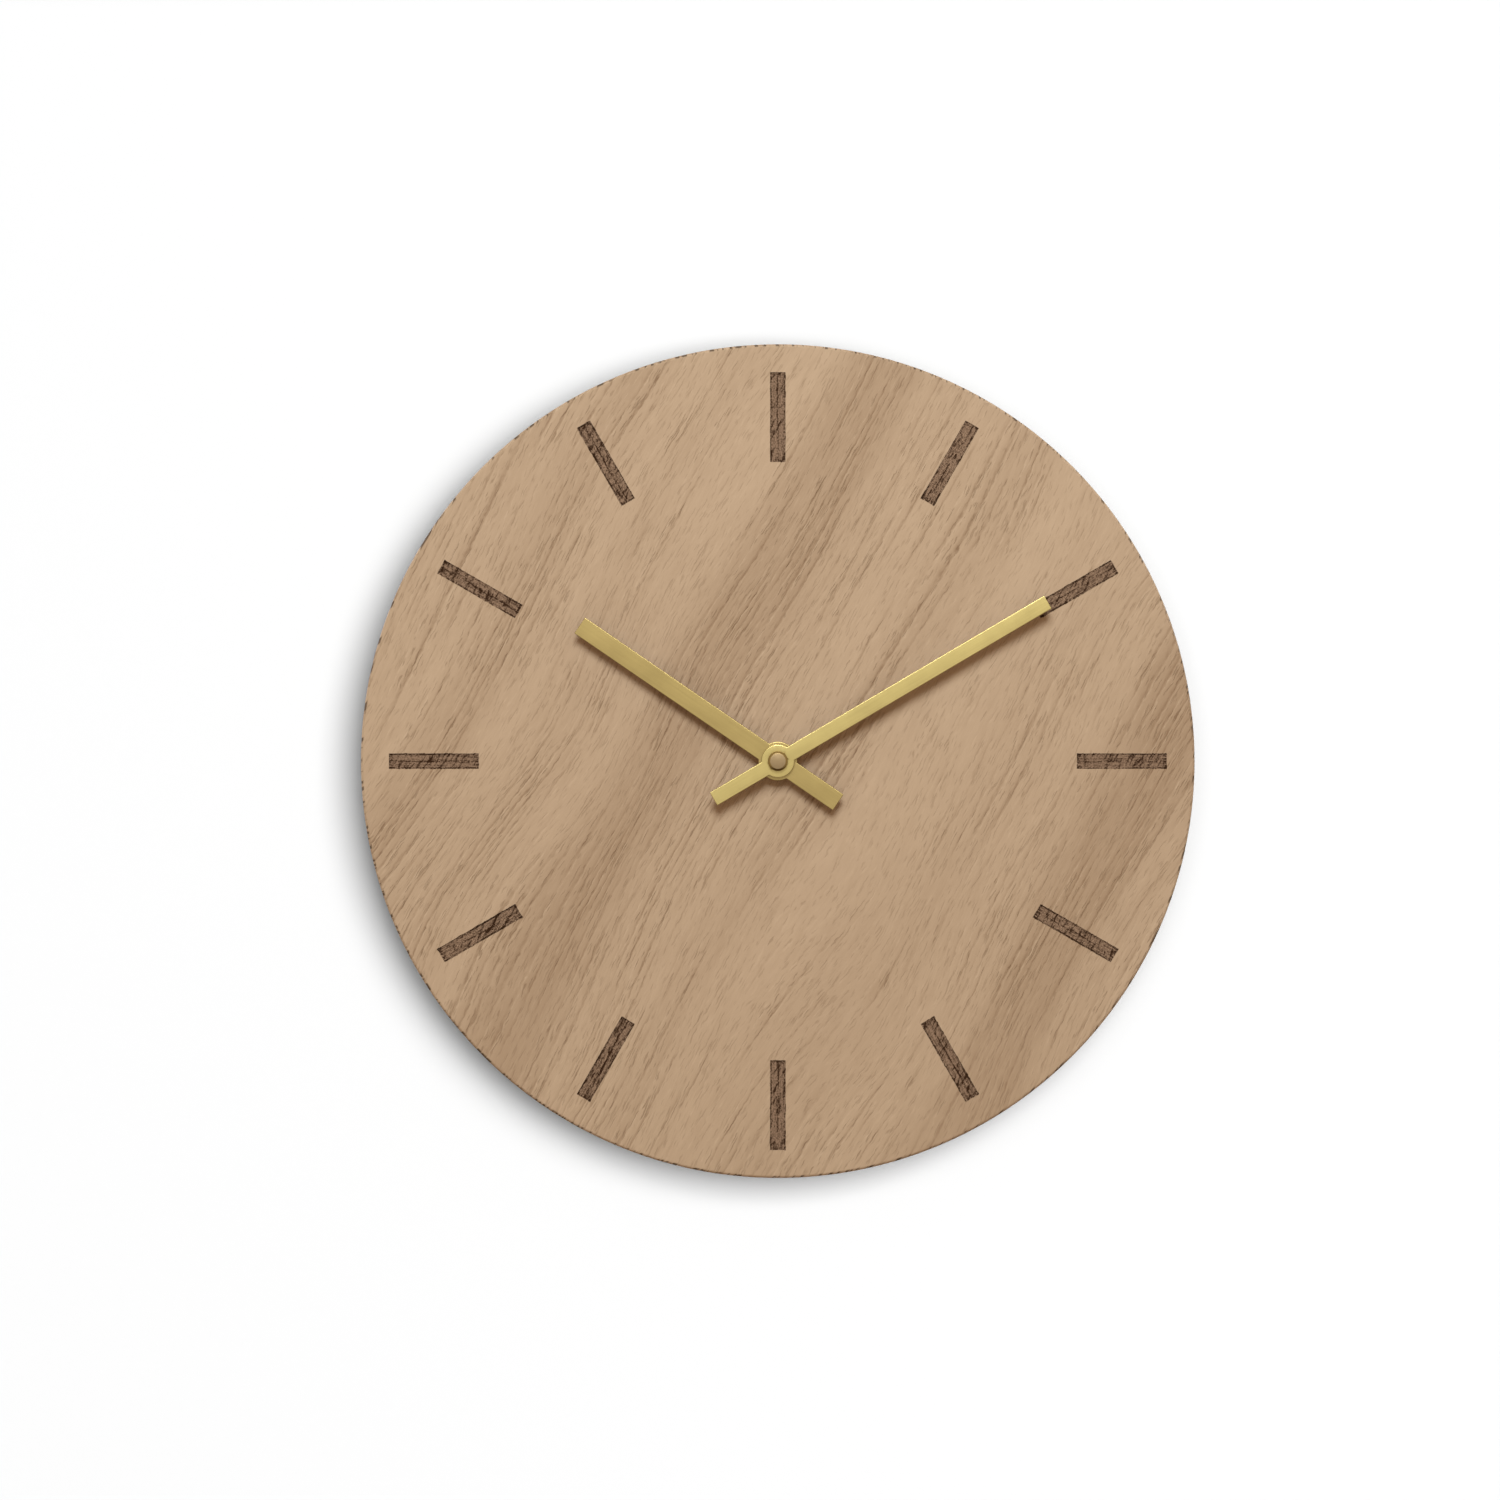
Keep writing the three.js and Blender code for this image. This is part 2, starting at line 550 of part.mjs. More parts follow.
function hangerPlate() {
  const half = HANGER_LENGTH / 2;
  const outline = upright(HANGER_WIDTH, plateMiddle - half, plateMiddle + half);
  const slot = upright(KEYHOLE_SLOT, hangRise - KEYHOLE_DROP, hangRise + KEYHOLE_SLOT / 2);
  const entry = new THREE.Vector2(0, hangRise - KEYHOLE_DROP);
  const countersinks = plateScrews.map((axis) =>
    turned(
      [
        [0, plateBack - SEAT],
        [HANGER_SCREW_HEAD + 2 * SEAT, plateBack - SEAT],
        [HANGER_SCREW_HEAD + 2 * SEAT, plateBack],
        [HANGER_SCREW_RADIUS + SEAT, plateBack + headCone + SEAT],
        [HANGER_SCREW_RADIUS + SEAT, plateFront + SEAT],
        [0, plateFront + SEAT],
      ],
      PIN_SIDES,
    ).translate(axis.x, axis.y, 0),
  );
  return cut(
    prism(outline, plateBack, plateFront),
    prism(slot, plateBack - OVERCUT, plateFront + OVERCUT),
    rod(KEYHOLE_ENTRY / 2, plateBack - OVERCUT, plateFront + OVERCUT, entry, PIPE_SIDES),
    ...countersinks,
  );
}

function hangerScrew(axis) {
  const point = HANGER_SCREW_LENGTH - 2 * HANGER_SCREW_RADIUS;
  return turned(
    [
      [0, plateBack],
      [HANGER_SCREW_HEAD, plateBack],
      [HANGER_SCREW_RADIUS, plateBack + headCone],
      [HANGER_SCREW_RADIUS, point],
      [0, HANGER_SCREW_LENGTH],
    ],
    PIN_SIDES,
  ).translate(axis.x, axis.y, 0);
}

// Hands: flat brass with square ends, a round hub and a riveted bush
const bushSpigot = (pipeRadius) => pipeRadius + SEAT + BUSH_WALL;

function handOutline(length, tail, width, hubDiameter, pipeRadius) {
  const hub = hubDiameter / 2;
  const half = width / 2;
  const meet = Math.asin(half / hub);
  const shape = new THREE.Shape();
  shape.moveTo(half, length);
  shape.lineTo(-half, length);
  shape.absarc(0, 0, hub, Math.PI / 2 + meet, 1.5 * Math.PI - meet);
  shape.lineTo(-half, -tail);
  shape.lineTo(half, -tail);
  shape.absarc(0, 0, hub, -Math.PI / 2 + meet, Math.PI / 2 - meet);
  const hole = new THREE.Path();
  hole.absarc(0, 0, bushSpigot(pipeRadius) + SEAT, 0, 2 * Math.PI, true);
  shape.holes.push(hole);
  return shape;
}

function hand(outline, angle, back) {
  const geometry = new THREE.ExtrudeGeometry(outline, {
    depth: HAND_THICKNESS - 2 * HAND_EDGE_BEVEL,
    bevelSize: HAND_EDGE_BEVEL,
    bevelOffset: -HAND_EDGE_BEVEL,
    bevelThickness: HAND_EDGE_BEVEL,
    bevelSegments: 1,
    curveSegments: 2 * ARC_SEGMENTS,
  });
  return geometry.translate(0, 0, back + HAND_EDGE_BEVEL).rotateZ(radians(-angle));
}

function handBush(pipeRadius, collarBack, handFront) {
  const bore = pipeRadius + SEAT;
  const spigot = bushSpigot(pipeRadius);
  const collar = spigot + BUSH_COLLAR_WIDTH;
  const collarFront = collarBack + BUSH_COLLAR;
  return turned([
    [bore, collarBack],
    [collar, collarBack],
    [collar, collarFront],
    [spigot, collarFront],
    [spigot, handFront],
    [bore, handFront],
    [bore, collarBack],
  ]);
}

function capNut() {
  const bore = minutePipeRadius + SEAT;
  const radius = bore + CAP_NUT_WALL;
  return turned([
    [0, capNutBottom],
    [bore, capNutBottom],
    [bore, capNutBack],
    [radius, capNutBack],
    [radius, capNutFront - CAP_NUT_CHAMFER],
    [radius - CAP_NUT_CHAMFER, capNutFront],
    [0, capNutFront],
  ]);
}

// Centre fixing: bushing held in the case floor, clamped to the oak by washers and a hexagon nut
function threadedBushing() {
  const flangeFront = chamberFloor + BUSHING_FLANGE;
  return turned([
    [bushingBore, chamberFloor],
    [bushingFlange, chamberFloor],
    [bushingFlange, flangeFront],
    [bushingRadius, flangeFront],
    [bushingRadius, bushingFront],
    [bushingBore, bushingFront],
    [bushingBore, chamberFloor],
  ]);
}

function fixingNut() {
  const corner = (bushingRadius + FIXING_NUT_WALL) / Math.cos(Math.PI / 6);
  const body = rod(corner, nutBack, nutBack + FIXING_NUT_HEIGHT, centreAxis, 6);
  return cut(body, rod(bushingRadius + SEAT, nutBack - OVERCUT, bushingFront, centreAxis, PIPE_SIDES));
}

// Movement case: a tray with a wheel chamber, a battery bay that is open at the back, and its posts
function movementCase() {
  const outer = roundedRectangle(-caseHalfWidth, caseHalfWidth, caseBottom, caseTop, CASE_CORNER);
  const inner = CASE_CORNER - CASE_WALL;
  const wide = chamberHalfWidth;
  const chamber = roundedRectangle(-wide, wide, chamberBottom, chamberTop, 0, inner);
  const bay = roundedRectangle(-wide, wide, bayBottom, bayTop, BAY_CORNER, 0);
  const flangeSeat = chamberFloor + BUSHING_FLANGE + SEAT;
  const contactNotch = CONTACT_THICKNESS + 3 * SEAT;
  const notches = [-1, 1].map((side) => {
    const outside = side * (wide - SEAT);
    const inside = side * (wide - SEAT - contactNotch);
    const [left, right] = [Math.min(inside, outside), Math.max(inside, outside)];
    const [bottom, top] = [bayTop - OVERCUT, chamberBottom + OVERCUT];
    return block(left, right, bottom, top, caseBack - OVERCUT, contactFront + RUN);
  });
  const windows = coverClips().map(([left, right]) =>
    block(
      left - RUN,
      right + RUN,
      chamberTop - SEAT,
      caseTop + OVERCUT,
      clipEnd - COVER_NOSE_HEIGHT - RUN,
      clipEnd + RUN,
    ),
  );
  const tray = cut(
    prism(outer, caseBack, caseFront),
    prism(chamber, caseBack - OVERCUT, chamberFloor),
    prism(bay, caseBack - OVERCUT, caseFront - BAY_FLOOR),
    rod(bushingHole, chamberFloor - OVERCUT, caseFront + OVERCUT, centreAxis, PIPE_SIDES),
    rod(bushingFlange + RUN, chamberFloor - OVERCUT, flangeSeat, centreAxis, PIPE_SIDES),
    thumbNotch(),
    ...notches,
    ...windows,
  );
  const posts = [
    ...pillars.map((axis) => rod(PILLAR_RADIUS, bridgeFront + SEAT, chamberFloor + SEAT, axis)),
    ...pillars.map((axis) => rod(PEG_RADIUS, bridgeBack, chamberFloor, axis)),
    ...boardPosts().map((axis) => rod(PILLAR_RADIUS, boardFront + SEAT, chamberFloor + SEAT, axis)),
    ...coverPosts().map((axis) => rod(PILLAR_RADIUS, coverFront + SEAT, chamberFloor + SEAT, axis)),
    rod(MINUTE_POST_RADIUS, layerBack(MINUTE_LAYER) + SEAT, chamberFloor + SEAT, minuteWheelAxis),
    ...cradleRibs(),
  ];
  const pivots = [thirdAxis, intermediateAxis, rotorAxis, settingAxis].map((axis) =>
    pivotHole(axis, chamberFloor - OVERCUT, frontPivotEnd),
  );
  return cut(join(tray, ...posts), ...pivots);
}

function boardPosts() {
  const x = -chamberHalfWidth + PILLAR_RADIUS + SHAKE;
  return [BOARD_POST_INSET, BOARD_LENGTH - BOARD_POST_INSET].map(
    (rise) => new THREE.Vector2(x, boardBottom + rise),
  );
}

function coverPosts() {
  const x = chamberHalfWidth - PILLAR_RADIUS;
  const y = chamberTop - PILLAR_RADIUS - CASE_CORNER / 2;
  return [
    new THREE.Vector2(-x, y),
    new THREE.Vector2(x, y),
    new THREE.Vector2(x, chamberBottom + CASE_CORNER),
  ];
}

// Ribs across the battery bay, hollowed to the battery's round
function cradleRibs() {
  const reach = chamberHalfWidth;
  const radius = BATTERY_DIAMETER / 2 + 2 * RUN;
  const hollow = layAlongBattery(rod(radius, -reach, reach, centreAxis, PIPE_SIDES));
  const edge = batteryAxisHeight + CRADLE_DEPTH;
  const floor = caseFront - BAY_FLOOR + SEAT;
  return [-1, 1].map((side) => {
    const left = (side * CRADLE_SPACING - CRADLE_RIB) / 2;
    return cut(block(left, left + CRADLE_RIB, bayBottom - SEAT, bayTop + SEAT, edge, floor), hollow);
  });
}

// Half-round cut-out in the bay's lower wall, to get a thumb under the battery
function thumbNotch() {
  const length = CASE_WALL + 2 * OVERCUT;
  const round = new THREE.CylinderGeometry(THUMB_NOTCH_RADIUS, THUMB_NOTCH_RADIUS, length, PIPE_SIDES);
  return round.translate(0, caseBottom + CASE_WALL / 2, caseBack);
}

// Rear cover: closes the wheel chamber, with a well for the setting knob and two snap clips
const clipEnd = coverFront + COVER_CLIP_DEPTH;

function coverClips() {
  return [-1, 1].map((side) => {
    const left = (side * chamberHalfWidth - COVER_CLIP_WIDTH) / 2;
    return [left, left + COVER_CLIP_WIDTH];
  });
}

// Nose of a clip: a wedge that slopes towards the clip's end, drawn from the side
function clipNose(left, right, foot) {
  const shape = new THREE.Shape();
  shape.moveTo(-clipEnd, foot - SEAT);
  shape.lineTo(COVER_NOSE_HEIGHT - clipEnd, foot - SEAT);
  shape.lineTo(COVER_NOSE_HEIGHT - clipEnd, foot + COVER_CLIP_NOSE);
  shape.lineTo(-clipEnd, foot);
  return prism(shape, left, right).rotateY(Math.PI / 2);
}

function rearCover() {
  const wide = chamberHalfWidth - SEAT;
  const bottom = chamberBottom + SEAT;
  const top = chamberTop - SEAT;
  const outline = roundedRectangle(-wide, wide, bottom, top, 0, CASE_CORNER - CASE_WALL);
  const wellRadius = KNOB_RADIUS + 2 * RUN;
  const wellBottom = knobWellFloor + COVER_THICKNESS;
  const clips = coverClips().flatMap(([left, right]) => [
    block(left, right, top - CASE_WALL / 2, top, coverFront - SEAT, clipEnd),
    clipNose(left, right, top),
  ]);
  return cut(
    join(
      prism(outline, coverBack, coverFront),
      rod(wellRadius + COVER_THICKNESS, coverBack, wellBottom, settingAxis, PIPE_SIDES),
      ...clips,
    ),
    rod(wellRadius, coverBack - OVERCUT, knobWellFloor, settingAxis, PIPE_SIDES),
    rod(SETTING_STEM_RADIUS + RUN, coverBack - OVERCUT, wellBottom + OVERCUT, settingAxis),
  );
}

// Bridge: the inner plate that carries the rear pivots
function gearBridge() {
  const outline = roundedHull([...pillars.slice(0, 3), rotorAxis, pillars[3]], PILLAR_RADIUS + SHAKE);
  const wellClear = KNOB_RADIUS + 2 * RUN + COVER_THICKNESS + SHAKE;
  return cut(
    prism(outline, bridgeBack, bridgeFront),
    rod(wellClear, bridgeBack - OVERCUT, bridgeFront + OVERCUT, settingAxis, PIPE_SIDES),
    rod(SECOND_ARBOR_RADIUS + RUN, bridgeBack - OVERCUT, bridgeFront + OVERCUT),
    ...[thirdAxis, intermediateAxis, rotorAxis].map((axis) =>
      pivotHole(axis, bridgeBack - OVERCUT, bridgeFront + OVERCUT),
    ),
    ...pillars.map((axis) => rod(PEG_RADIUS + RUN, bridgeBack - OVERCUT, bridgeFront + OVERCUT, axis)),
  );
}

// Motion work: cannon pinion, minute wheel and hour wheel, twelve to one
const cannonStub = minutePipeRadius + RUN;

function cannonPinion() {
  const back = layerBack(CENTRE_LAYER);
  return cut(
    join(
      pinion(
        CANNON_TEETH,
        motionModule,
        centreAxis,
        minuteWheelAxis,
        layerBack(MINUTE_LAYER),
        layerFront(MINUTE_LAYER),
      ),
      rod(cannonStub, back, layerBack(MINUTE_LAYER) + SEAT, centreAxis, PIPE_SIDES),
      rod(minutePipeRadius, back, capNutBottom - RUN, centreAxis, PIPE_SIDES),
    ),
    rod(minutePipeBore, back - OVERCUT, capNutFront, centreAxis),
  );
}

function minuteWheel() {
  const [back, front] = [layerBack(MINUTE_LAYER), layerFront(MINUTE_LAYER)];
  const top = layerFront(HOUR_LAYER);
  return cut(
    join(
      wheel(MINUTE_WHEEL_TEETH, motionModule, minuteWheelAxis, centreAxis, back, front),
      pinion(MINUTE_PINION_TEETH, hourModule, minuteWheelAxis, centreAxis, front - SEAT, top),
    ),
    rod(MINUTE_POST_RADIUS + RUN, back - OVERCUT, top + OVERCUT, minuteWheelAxis),
  );
}

function hourWheel() {
  const [back, front] = [layerBack(HOUR_LAYER), layerFront(HOUR_LAYER)];
  return cut(
    join(
      wheel(HOUR_WHEEL_TEETH, hourModule, centreAxis, minuteWheelAxis, back, front),
      rod(hourPipeRadius, back, hourHandFront, centreAxis, PIPE_SIDES),
    ),
    rod(hourPipeBore, back - OVERCUT, hourHandFront + OVERCUT, centreAxis, PIPE_SIDES),
  );
}

// Going train: rotor, intermediate wheel, second wheel, third wheel and centre wheel
function centreWheel() {
  const [back, front] = [layerBack(CENTRE_LAYER), layerFront(CENTRE_LAYER)];
  return cut(
    wheel(CENTRE_WHEEL_TEETH, centreModule, centreAxis, thirdAxis, back, front),
    rod(cannonStub + SEAT, back - OVERCUT, front + OVERCUT, centreAxis, PIPE_SIDES),
    ...webHoles(CENTRE_WHEEL_TEETH, centreModule, cannonStub, centreAxis, CENTRE_LAYER),
  );
}

function thirdWheel() {
  const [back, front] = [layerBack(THIRD_LAYER), layerFront(THIRD_LAYER)];
  const hub = pinionTip(THIRD_PINION_TEETH, centreModule);
  return cut(
    join(
      wheel(THIRD_WHEEL_TEETH, thirdModule, thirdAxis, centreAxis, back, front),
      pinion(
        THIRD_PINION_TEETH,
        centreModule,
        thirdAxis,
        centreAxis,
        front - SEAT,
        layerFront(CENTRE_LAYER) + WHEEL_GAP / 2,
      ),
      arbor(thirdAxis),
    ),
    ...webHoles(THIRD_WHEEL_TEETH, thirdModule, hub, thirdAxis, THIRD_LAYER),
  );
}

function secondWheel() {
  const [back, front] = [layerBack(SECOND_LAYER), layerFront(SECOND_LAYER)];
  const hub = pinionTip(SECOND_PINION_TEETH, thirdModule);
  const top = layerFront(THIRD_LAYER) + WHEEL_GAP / 2;
  return cut(
    join(
      wheel(SECOND_WHEEL_TEETH, secondModule, centreAxis, intermediateAxis, back, front),
      pinion(SECOND_PINION_TEETH, thirdModule, centreAxis, thirdAxis, front - SEAT, top),
    ),
    rod(SECOND_ARBOR_RADIUS + SEAT, back - OVERCUT, top + OVERCUT),
    ...webHoles(SECOND_WHEEL_TEETH, secondModule, hub, centreAxis, SECOND_LAYER),
  );
}

const secondArbor = () =>
  rod(SECOND_ARBOR_RADIUS, bridgeBack + RUN, capNutBottom - SHAKE, centreAxis);

function intermediateWheel() {
  const [back, front] = [layerBack(INTERMEDIATE_LAYER), layerFront(INTERMEDIATE_LAYER)];
  return join(
    wheel(INTERMEDIATE_WHEEL_TEETH, rotorModule, intermediateAxis, rotorAxis, back, front),
    pinion(
      INTERMEDIATE_PINION_TEETH,
      secondModule,
      intermediateAxis,
      centreAxis,
      front - SEAT,
      layerFront(SECOND_LAYER) + WHEEL_GAP / 2,
    ),
    arbor(intermediateAxis),
  );
}

// Motor: a two-pole magnet on the rotor, in the hole of the stator that the coil magnetises
const magnetBack = (statorBack + statorFront - MAGNET_LENGTH) / 2;

function rotorPinion() {
  const back = layerBack(INTERMEDIATE_LAYER) - WHEEL_GAP / 2;
  const front = Math.min(layerFront(INTERMEDIATE_LAYER) + WHEEL_GAP, magnetBack - SEAT);
  return join(
    pinion(ROTOR_PINION_TEETH, rotorModule, rotorAxis, intermediateAxis, back, front),
    arbor(rotorAxis),
  );
}

const rotorMagnet = () =>
  tube(MAGNET_RADIUS, ARBOR_RADIUS + SEAT, magnetBack, magnetBack + MAGNET_LENGTH).translate(
    rotorAxis.x,
    rotorAxis.y,
    0,
  );

function stator() {
  const half = statorHalf;
  const bandBottom = rotorAxis.y - rotorHole + STATOR_RIM / 2;
  const legTop = coilAxisY + COIL_CORE_WIDTH / 2;
  const legs = [-1, 1].map((side) => {
    const [left, right] = [side * half, side * (half - STATOR_LEG)].sort((a, b) => a - b);
    return block(left, right, bandBottom, legTop, statorBack, statorFront);
  });
  const notches = [0, 180].map((turn) => {
    const notch = from(rotorAxis, STATOR_NOTCH_DIRECTION + turn, rotorHole);
    return rod(STATOR_NOTCH, statorBack - OVERCUT, statorFront + OVERCUT, notch);
  });
  return cut(
    join(
      block(-half, half, bandBottom, statorTop, statorBack, statorFront),
      rod(rotorHole + STATOR_RIM, statorBack, statorFront, rotorAxis, PIPE_SIDES),
      ...legs,
    ),
    rod(rotorHole, statorBack - OVERCUT, statorFront + OVERCUT, rotorAxis, PIPE_SIDES),
    ...notches,
  );
}

function coilCore() {
  const half = statorHalf;
  const reach = COIL_CORE_WIDTH / 2;
  return block(-half, half, coilAxisY - reach, coilAxisY + reach, coreBack, coreBack + STATOR_THICKNESS);
}

// Forms on the coil's axis are turned about Z and then laid along X
const layAlongCoil = (geometry) => geometry.rotateY(Math.PI / 2).translate(0, coilAxisY, coilHeight);
const bobbinTube = Math.hypot(COIL_CORE_WIDTH, STATOR_THICKNESS) / 2 + SEAT + BOBBIN_WALL;

function coilBobbin() {
  const half = COIL_LENGTH / 2;
  const flangeInside = half - BOBBIN_FLANGE;
  const spool = layAlongCoil(
    turned([
      [0, -half],
      [bobbinHalf, -half],
      [bobbinHalf, -flangeInside],
      [bobbinTube, -flangeInside],
      [bobbinTube, flangeInside],
      [bobbinHalf, flangeInside],
      [bobbinHalf, half],
      [0, half],
    ]),
  );
  const reach = COIL_CORE_WIDTH / 2 + SEAT;
  const thick = STATOR_THICKNESS / 2 + SEAT;
  const slot = block(-half - OVERCUT, half + OVERCUT, -reach, reach, -thick, thick);
  return cut(spool, slot.translate(0, coilAxisY, coilHeight));
}

function coilWinding() {
  const half = COIL_LENGTH / 2 - BOBBIN_FLANGE - SEAT;
  return layAlongCoil(tube(COIL_RADIUS, bobbinTube + SEAT, -half, half));
}

// Electronics
function circuitBoard() {
  const left = -chamberHalfWidth + SHAKE;
  return block(left, boardRight, boardBottom, boardBottom + BOARD_LENGTH, boardBack, boardFront);
}

const boardMiddle = (boardRight - chamberHalfWidth + SHAKE) / 2;

function driverChip() {
  const dome = [];
  for (let i = 0; i <= RIM_SEGMENTS; i++) {
    const turn = (i / RIM_SEGMENTS) * (Math.PI / 2);
    dome.push([CHIP_RADIUS * Math.sin(turn), -CHIP_HEIGHT * Math.cos(turn)]);
  }
  return turned([...dome, [0, 0]]).translate(boardMiddle, boardBottom + CHIP_RISE, boardBack - SEAT);
}

function quartzCrystal() {
  const can = new THREE.CylinderGeometry(CRYSTAL_RADIUS, CRYSTAL_RADIUS, CRYSTAL_LENGTH, PIN_SIDES);
  return can.translate(boardMiddle, boardBottom + CRYSTAL_RISE, boardBack - SEAT - CRYSTAL_RADIUS);
}

// Battery contacts: bent strips that stand in the bay's ends and run up to the circuit board
const contactOutside = chamberHalfWidth - 2 * SEAT;
const contactInside = contactOutside - CONTACT_THICKNESS;

function contactPositive() {
  const runBottom = chamberBottom + SEAT;
  const runTop = runBottom + CONTACT_THICKNESS;
  const shape = new THREE.Shape();
  shape.moveTo(contactOutside, batteryAxisY - CONTACT_WIDTH);
  shape.lineTo(contactOutside, runTop);
  shape.lineTo(boardRight - CONTACT_WIDTH, runTop);
  shape.lineTo(boardRight - CONTACT_WIDTH, runBottom);
  shape.lineTo(contactInside, runBottom);
  shape.lineTo(contactInside, batteryAxisY - CONTACT_WIDTH);
  return prism(shape, contactBack, contactFront);
}

function contactNegative() {
  const bow = CONTACT_ROOM - CONTACT_THICKNESS - 3 * SEAT;
  const low = batteryAxisY - CONTACT_BOW / 2;
  const high = batteryAxisY + CONTACT_BOW / 2;
  const tail = boardBottom + CONTACT_WIDTH;
  const shape = new THREE.Shape();
  shape.moveTo(-contactOutside, tail);
  shape.lineTo(-contactOutside, high);
  shape.quadraticCurveTo(-contactOutside + 2 * bow, batteryAxisY, -contactOutside, low);
  shape.lineTo(-contactInside, low);
  shape.quadraticCurveTo(-contactInside + 2 * bow, batteryAxisY, -contactInside, high);
  shape.lineTo(-contactInside, tail);
  return prism(shape, contactBack, contactFront);
}

// Battery: a cell with its nub to the right, lying in the bay
const layAlongBattery = (geometry) =>
  geometry.rotateY(Math.PI / 2).translate(0, batteryAxisY, batteryAxisHeight);

function battery() {
  const radius = BATTERY_DIAMETER / 2;
  const left = -BATTERY_LENGTH / 2;
  const shoulder = BATTERY_LENGTH / 2 - BATTERY_NUB_LENGTH;
  const nub = BATTERY_NUB_DIAMETER / 2;
  const cell = turned([
    [0, left],
    [radius - BATTERY_EDGE, left],
    [radius, left + BATTERY_EDGE],
    [radius, shoulder - BATTERY_EDGE],
    [radius - BATTERY_EDGE, shoulder],
    [nub, shoulder],
    [nub, BATTERY_LENGTH / 2],
    [0, BATTERY_LENGTH / 2],
  ]);
  return layAlongBattery(cell);
}

// Time setting: a stem whose pinion turns the minute wheel, and the knob pressed on its rear end
const stemBack = knobBack + KNOB_FACE;

function settingStem() {
  const [back, front] = [layerBack(MINUTE_LAYER), layerFront(MINUTE_LAYER)];
  return join(
    pinion(SETTING_PINION_TEETH, motionModule, settingAxis, minuteWheelAxis, back, front),
    rod(SETTING_STEM_RADIUS, stemBack + SEAT, chamberFloor - SHAKE, settingAxis),
    rod(PIVOT_RADIUS, chamberFloor - 2 * SHAKE, frontPivotEnd - RUN, settingAxis),
  );
}

function settingKnob() {
  const rim = new THREE.Shape();
  for (let i = 0; i < 2 * KNOB_RIBS; i++) {
    const radius = KNOB_RADIUS - (i % 2) * KNOB_RIB_DEPTH;
    const angle = (i * Math.PI) / KNOB_RIBS;
    const point = [radius * Math.cos(angle), radius * Math.sin(angle)];
    if (i === 0) rim.moveTo(...point);
    else rim.lineTo(...point);
  }
  const dishRadius = KNOB_RADIUS - KNOB_RIM;
  const dish = turned([
    [0, -OVERCUT],
    [dishRadius, -OVERCUT],
    [dishRadius, 0],
    [dishRadius - KNOB_DISH, KNOB_DISH],
    [0, KNOB_DISH],
  ]);
  return cut(
    prism(rim, knobBack, knobFront).translate(settingAxis.x, settingAxis.y, 0),
    rod(SETTING_STEM_RADIUS + SEAT, stemBack, knobFront + OVERCUT, settingAxis),
    dish.translate(settingAxis.x, settingAxis.y, knobBack),
  );
}

// Assembly
piece('oak_dial', oakDial(), oak);
piece('hanger_plate', hangerPlate(), zincSteel);
piece('hanger_screw_upper', hangerScrew(plateScrews[0]), steel);
piece('hanger_screw_lower', hangerScrew(plateScrews[1]), steel);

const hourOutline = handOutline(
  HOUR_HAND_LENGTH,
  HOUR_HAND_TAIL,
  HOUR_HAND_WIDTH,
  HOUR_HUB_DIAMETER,
  hourPipeRadius,
);
piece('hour_hand', hand(hourOutline, HOUR_HAND_ANGLE, hourHandBack), brass);
piece('hour_hand_bush', handBush(hourPipeRadius, hourCollarBack, hourHandFront), brass);
const minuteOutline = handOutline(
  MINUTE_HAND_LENGTH,
  MINUTE_HAND_TAIL,
  MINUTE_HAND_WIDTH,
  MINUTE_HUB_DIAMETER,
  minutePipeRadius,
);
piece('minute_hand', hand(minuteOutline, MINUTE_HAND_ANGLE, minuteHandBack), brass);
piece('minute_hand_bush', handBush(minutePipeRadius, minuteCollarBack, minuteHandFront), brass);
piece('cap_nut', capNut(), brass);

piece('threaded_bushing', threadedBushing(), brass);
const rubberBack = caseFront + SEAT;
piece(
  'rubber_washer',
  tube(bushingHole + RUBBER_WASHER_WIDTH, bushingHole, rubberBack, rubberBack + RUBBER_WASHER_THICKNESS),
  rubber,
);
piece(
  'dial_washer',
  tube(bushingHole + DIAL_WASHER_WIDTH, bushingHole, washerBack, washerBack + DIAL_WASHER_THICKNESS),
  brass,
);
piece('fixing_nut', fixingNut(), brass);

piece('movement_case', movementCase(), blackPlastic);
piece('rear_cover', rearCover(), blackPlastic);
piece('gear_bridge', gearBridge(), whitePlastic);
piece('cannon_pinion', cannonPinion(), brass);
piece('minute_wheel', minuteWheel(), whitePlastic);
piece('hour_wheel', hourWheel(), whitePlastic);
piece('centre_wheel', centreWheel(), whitePlastic);
piece('third_wheel', thirdWheel(), whitePlastic);
piece('second_wheel', secondWheel(), whitePlastic);
piece('second_arbor', secondArbor(), steel);
piece('intermediate_wheel', intermediateWheel(), whitePlastic);
piece('rotor_pinion', rotorPinion(), whitePlastic);
piece('rotor_magnet', rotorMagnet(), magnet);
piece('stator', stator(), softIron);
piece('coil_core', coilCore(), softIron);
piece('coil_bobbin', coilBobbin(), whitePlastic);
piece('coil_winding', coilWinding(), copper);
piece('circuit_board', circuitBoard(), greenBoard);
piece('driver_chip', driverChip(), blackEpoxy);
piece('quartz_crystal', quartzCrystal(), steel);
piece('contact_positive', contactPositive(), zincSteel);
piece('contact_negative', contactNegative(), zincSteel);
piece('battery', battery(), batteryWrap);
piece('setting_stem', settingStem(), whitePlastic);
piece('setting_knob', settingKnob(), blackPlastic);

// Stand the drawing upright on the wall, with the hanging point at the origin
clock.rotation.x = Math.PI / 2;
clock.position.z = -hangRise;

const part = new THREE.Group();
part.add(clock);
export default part;
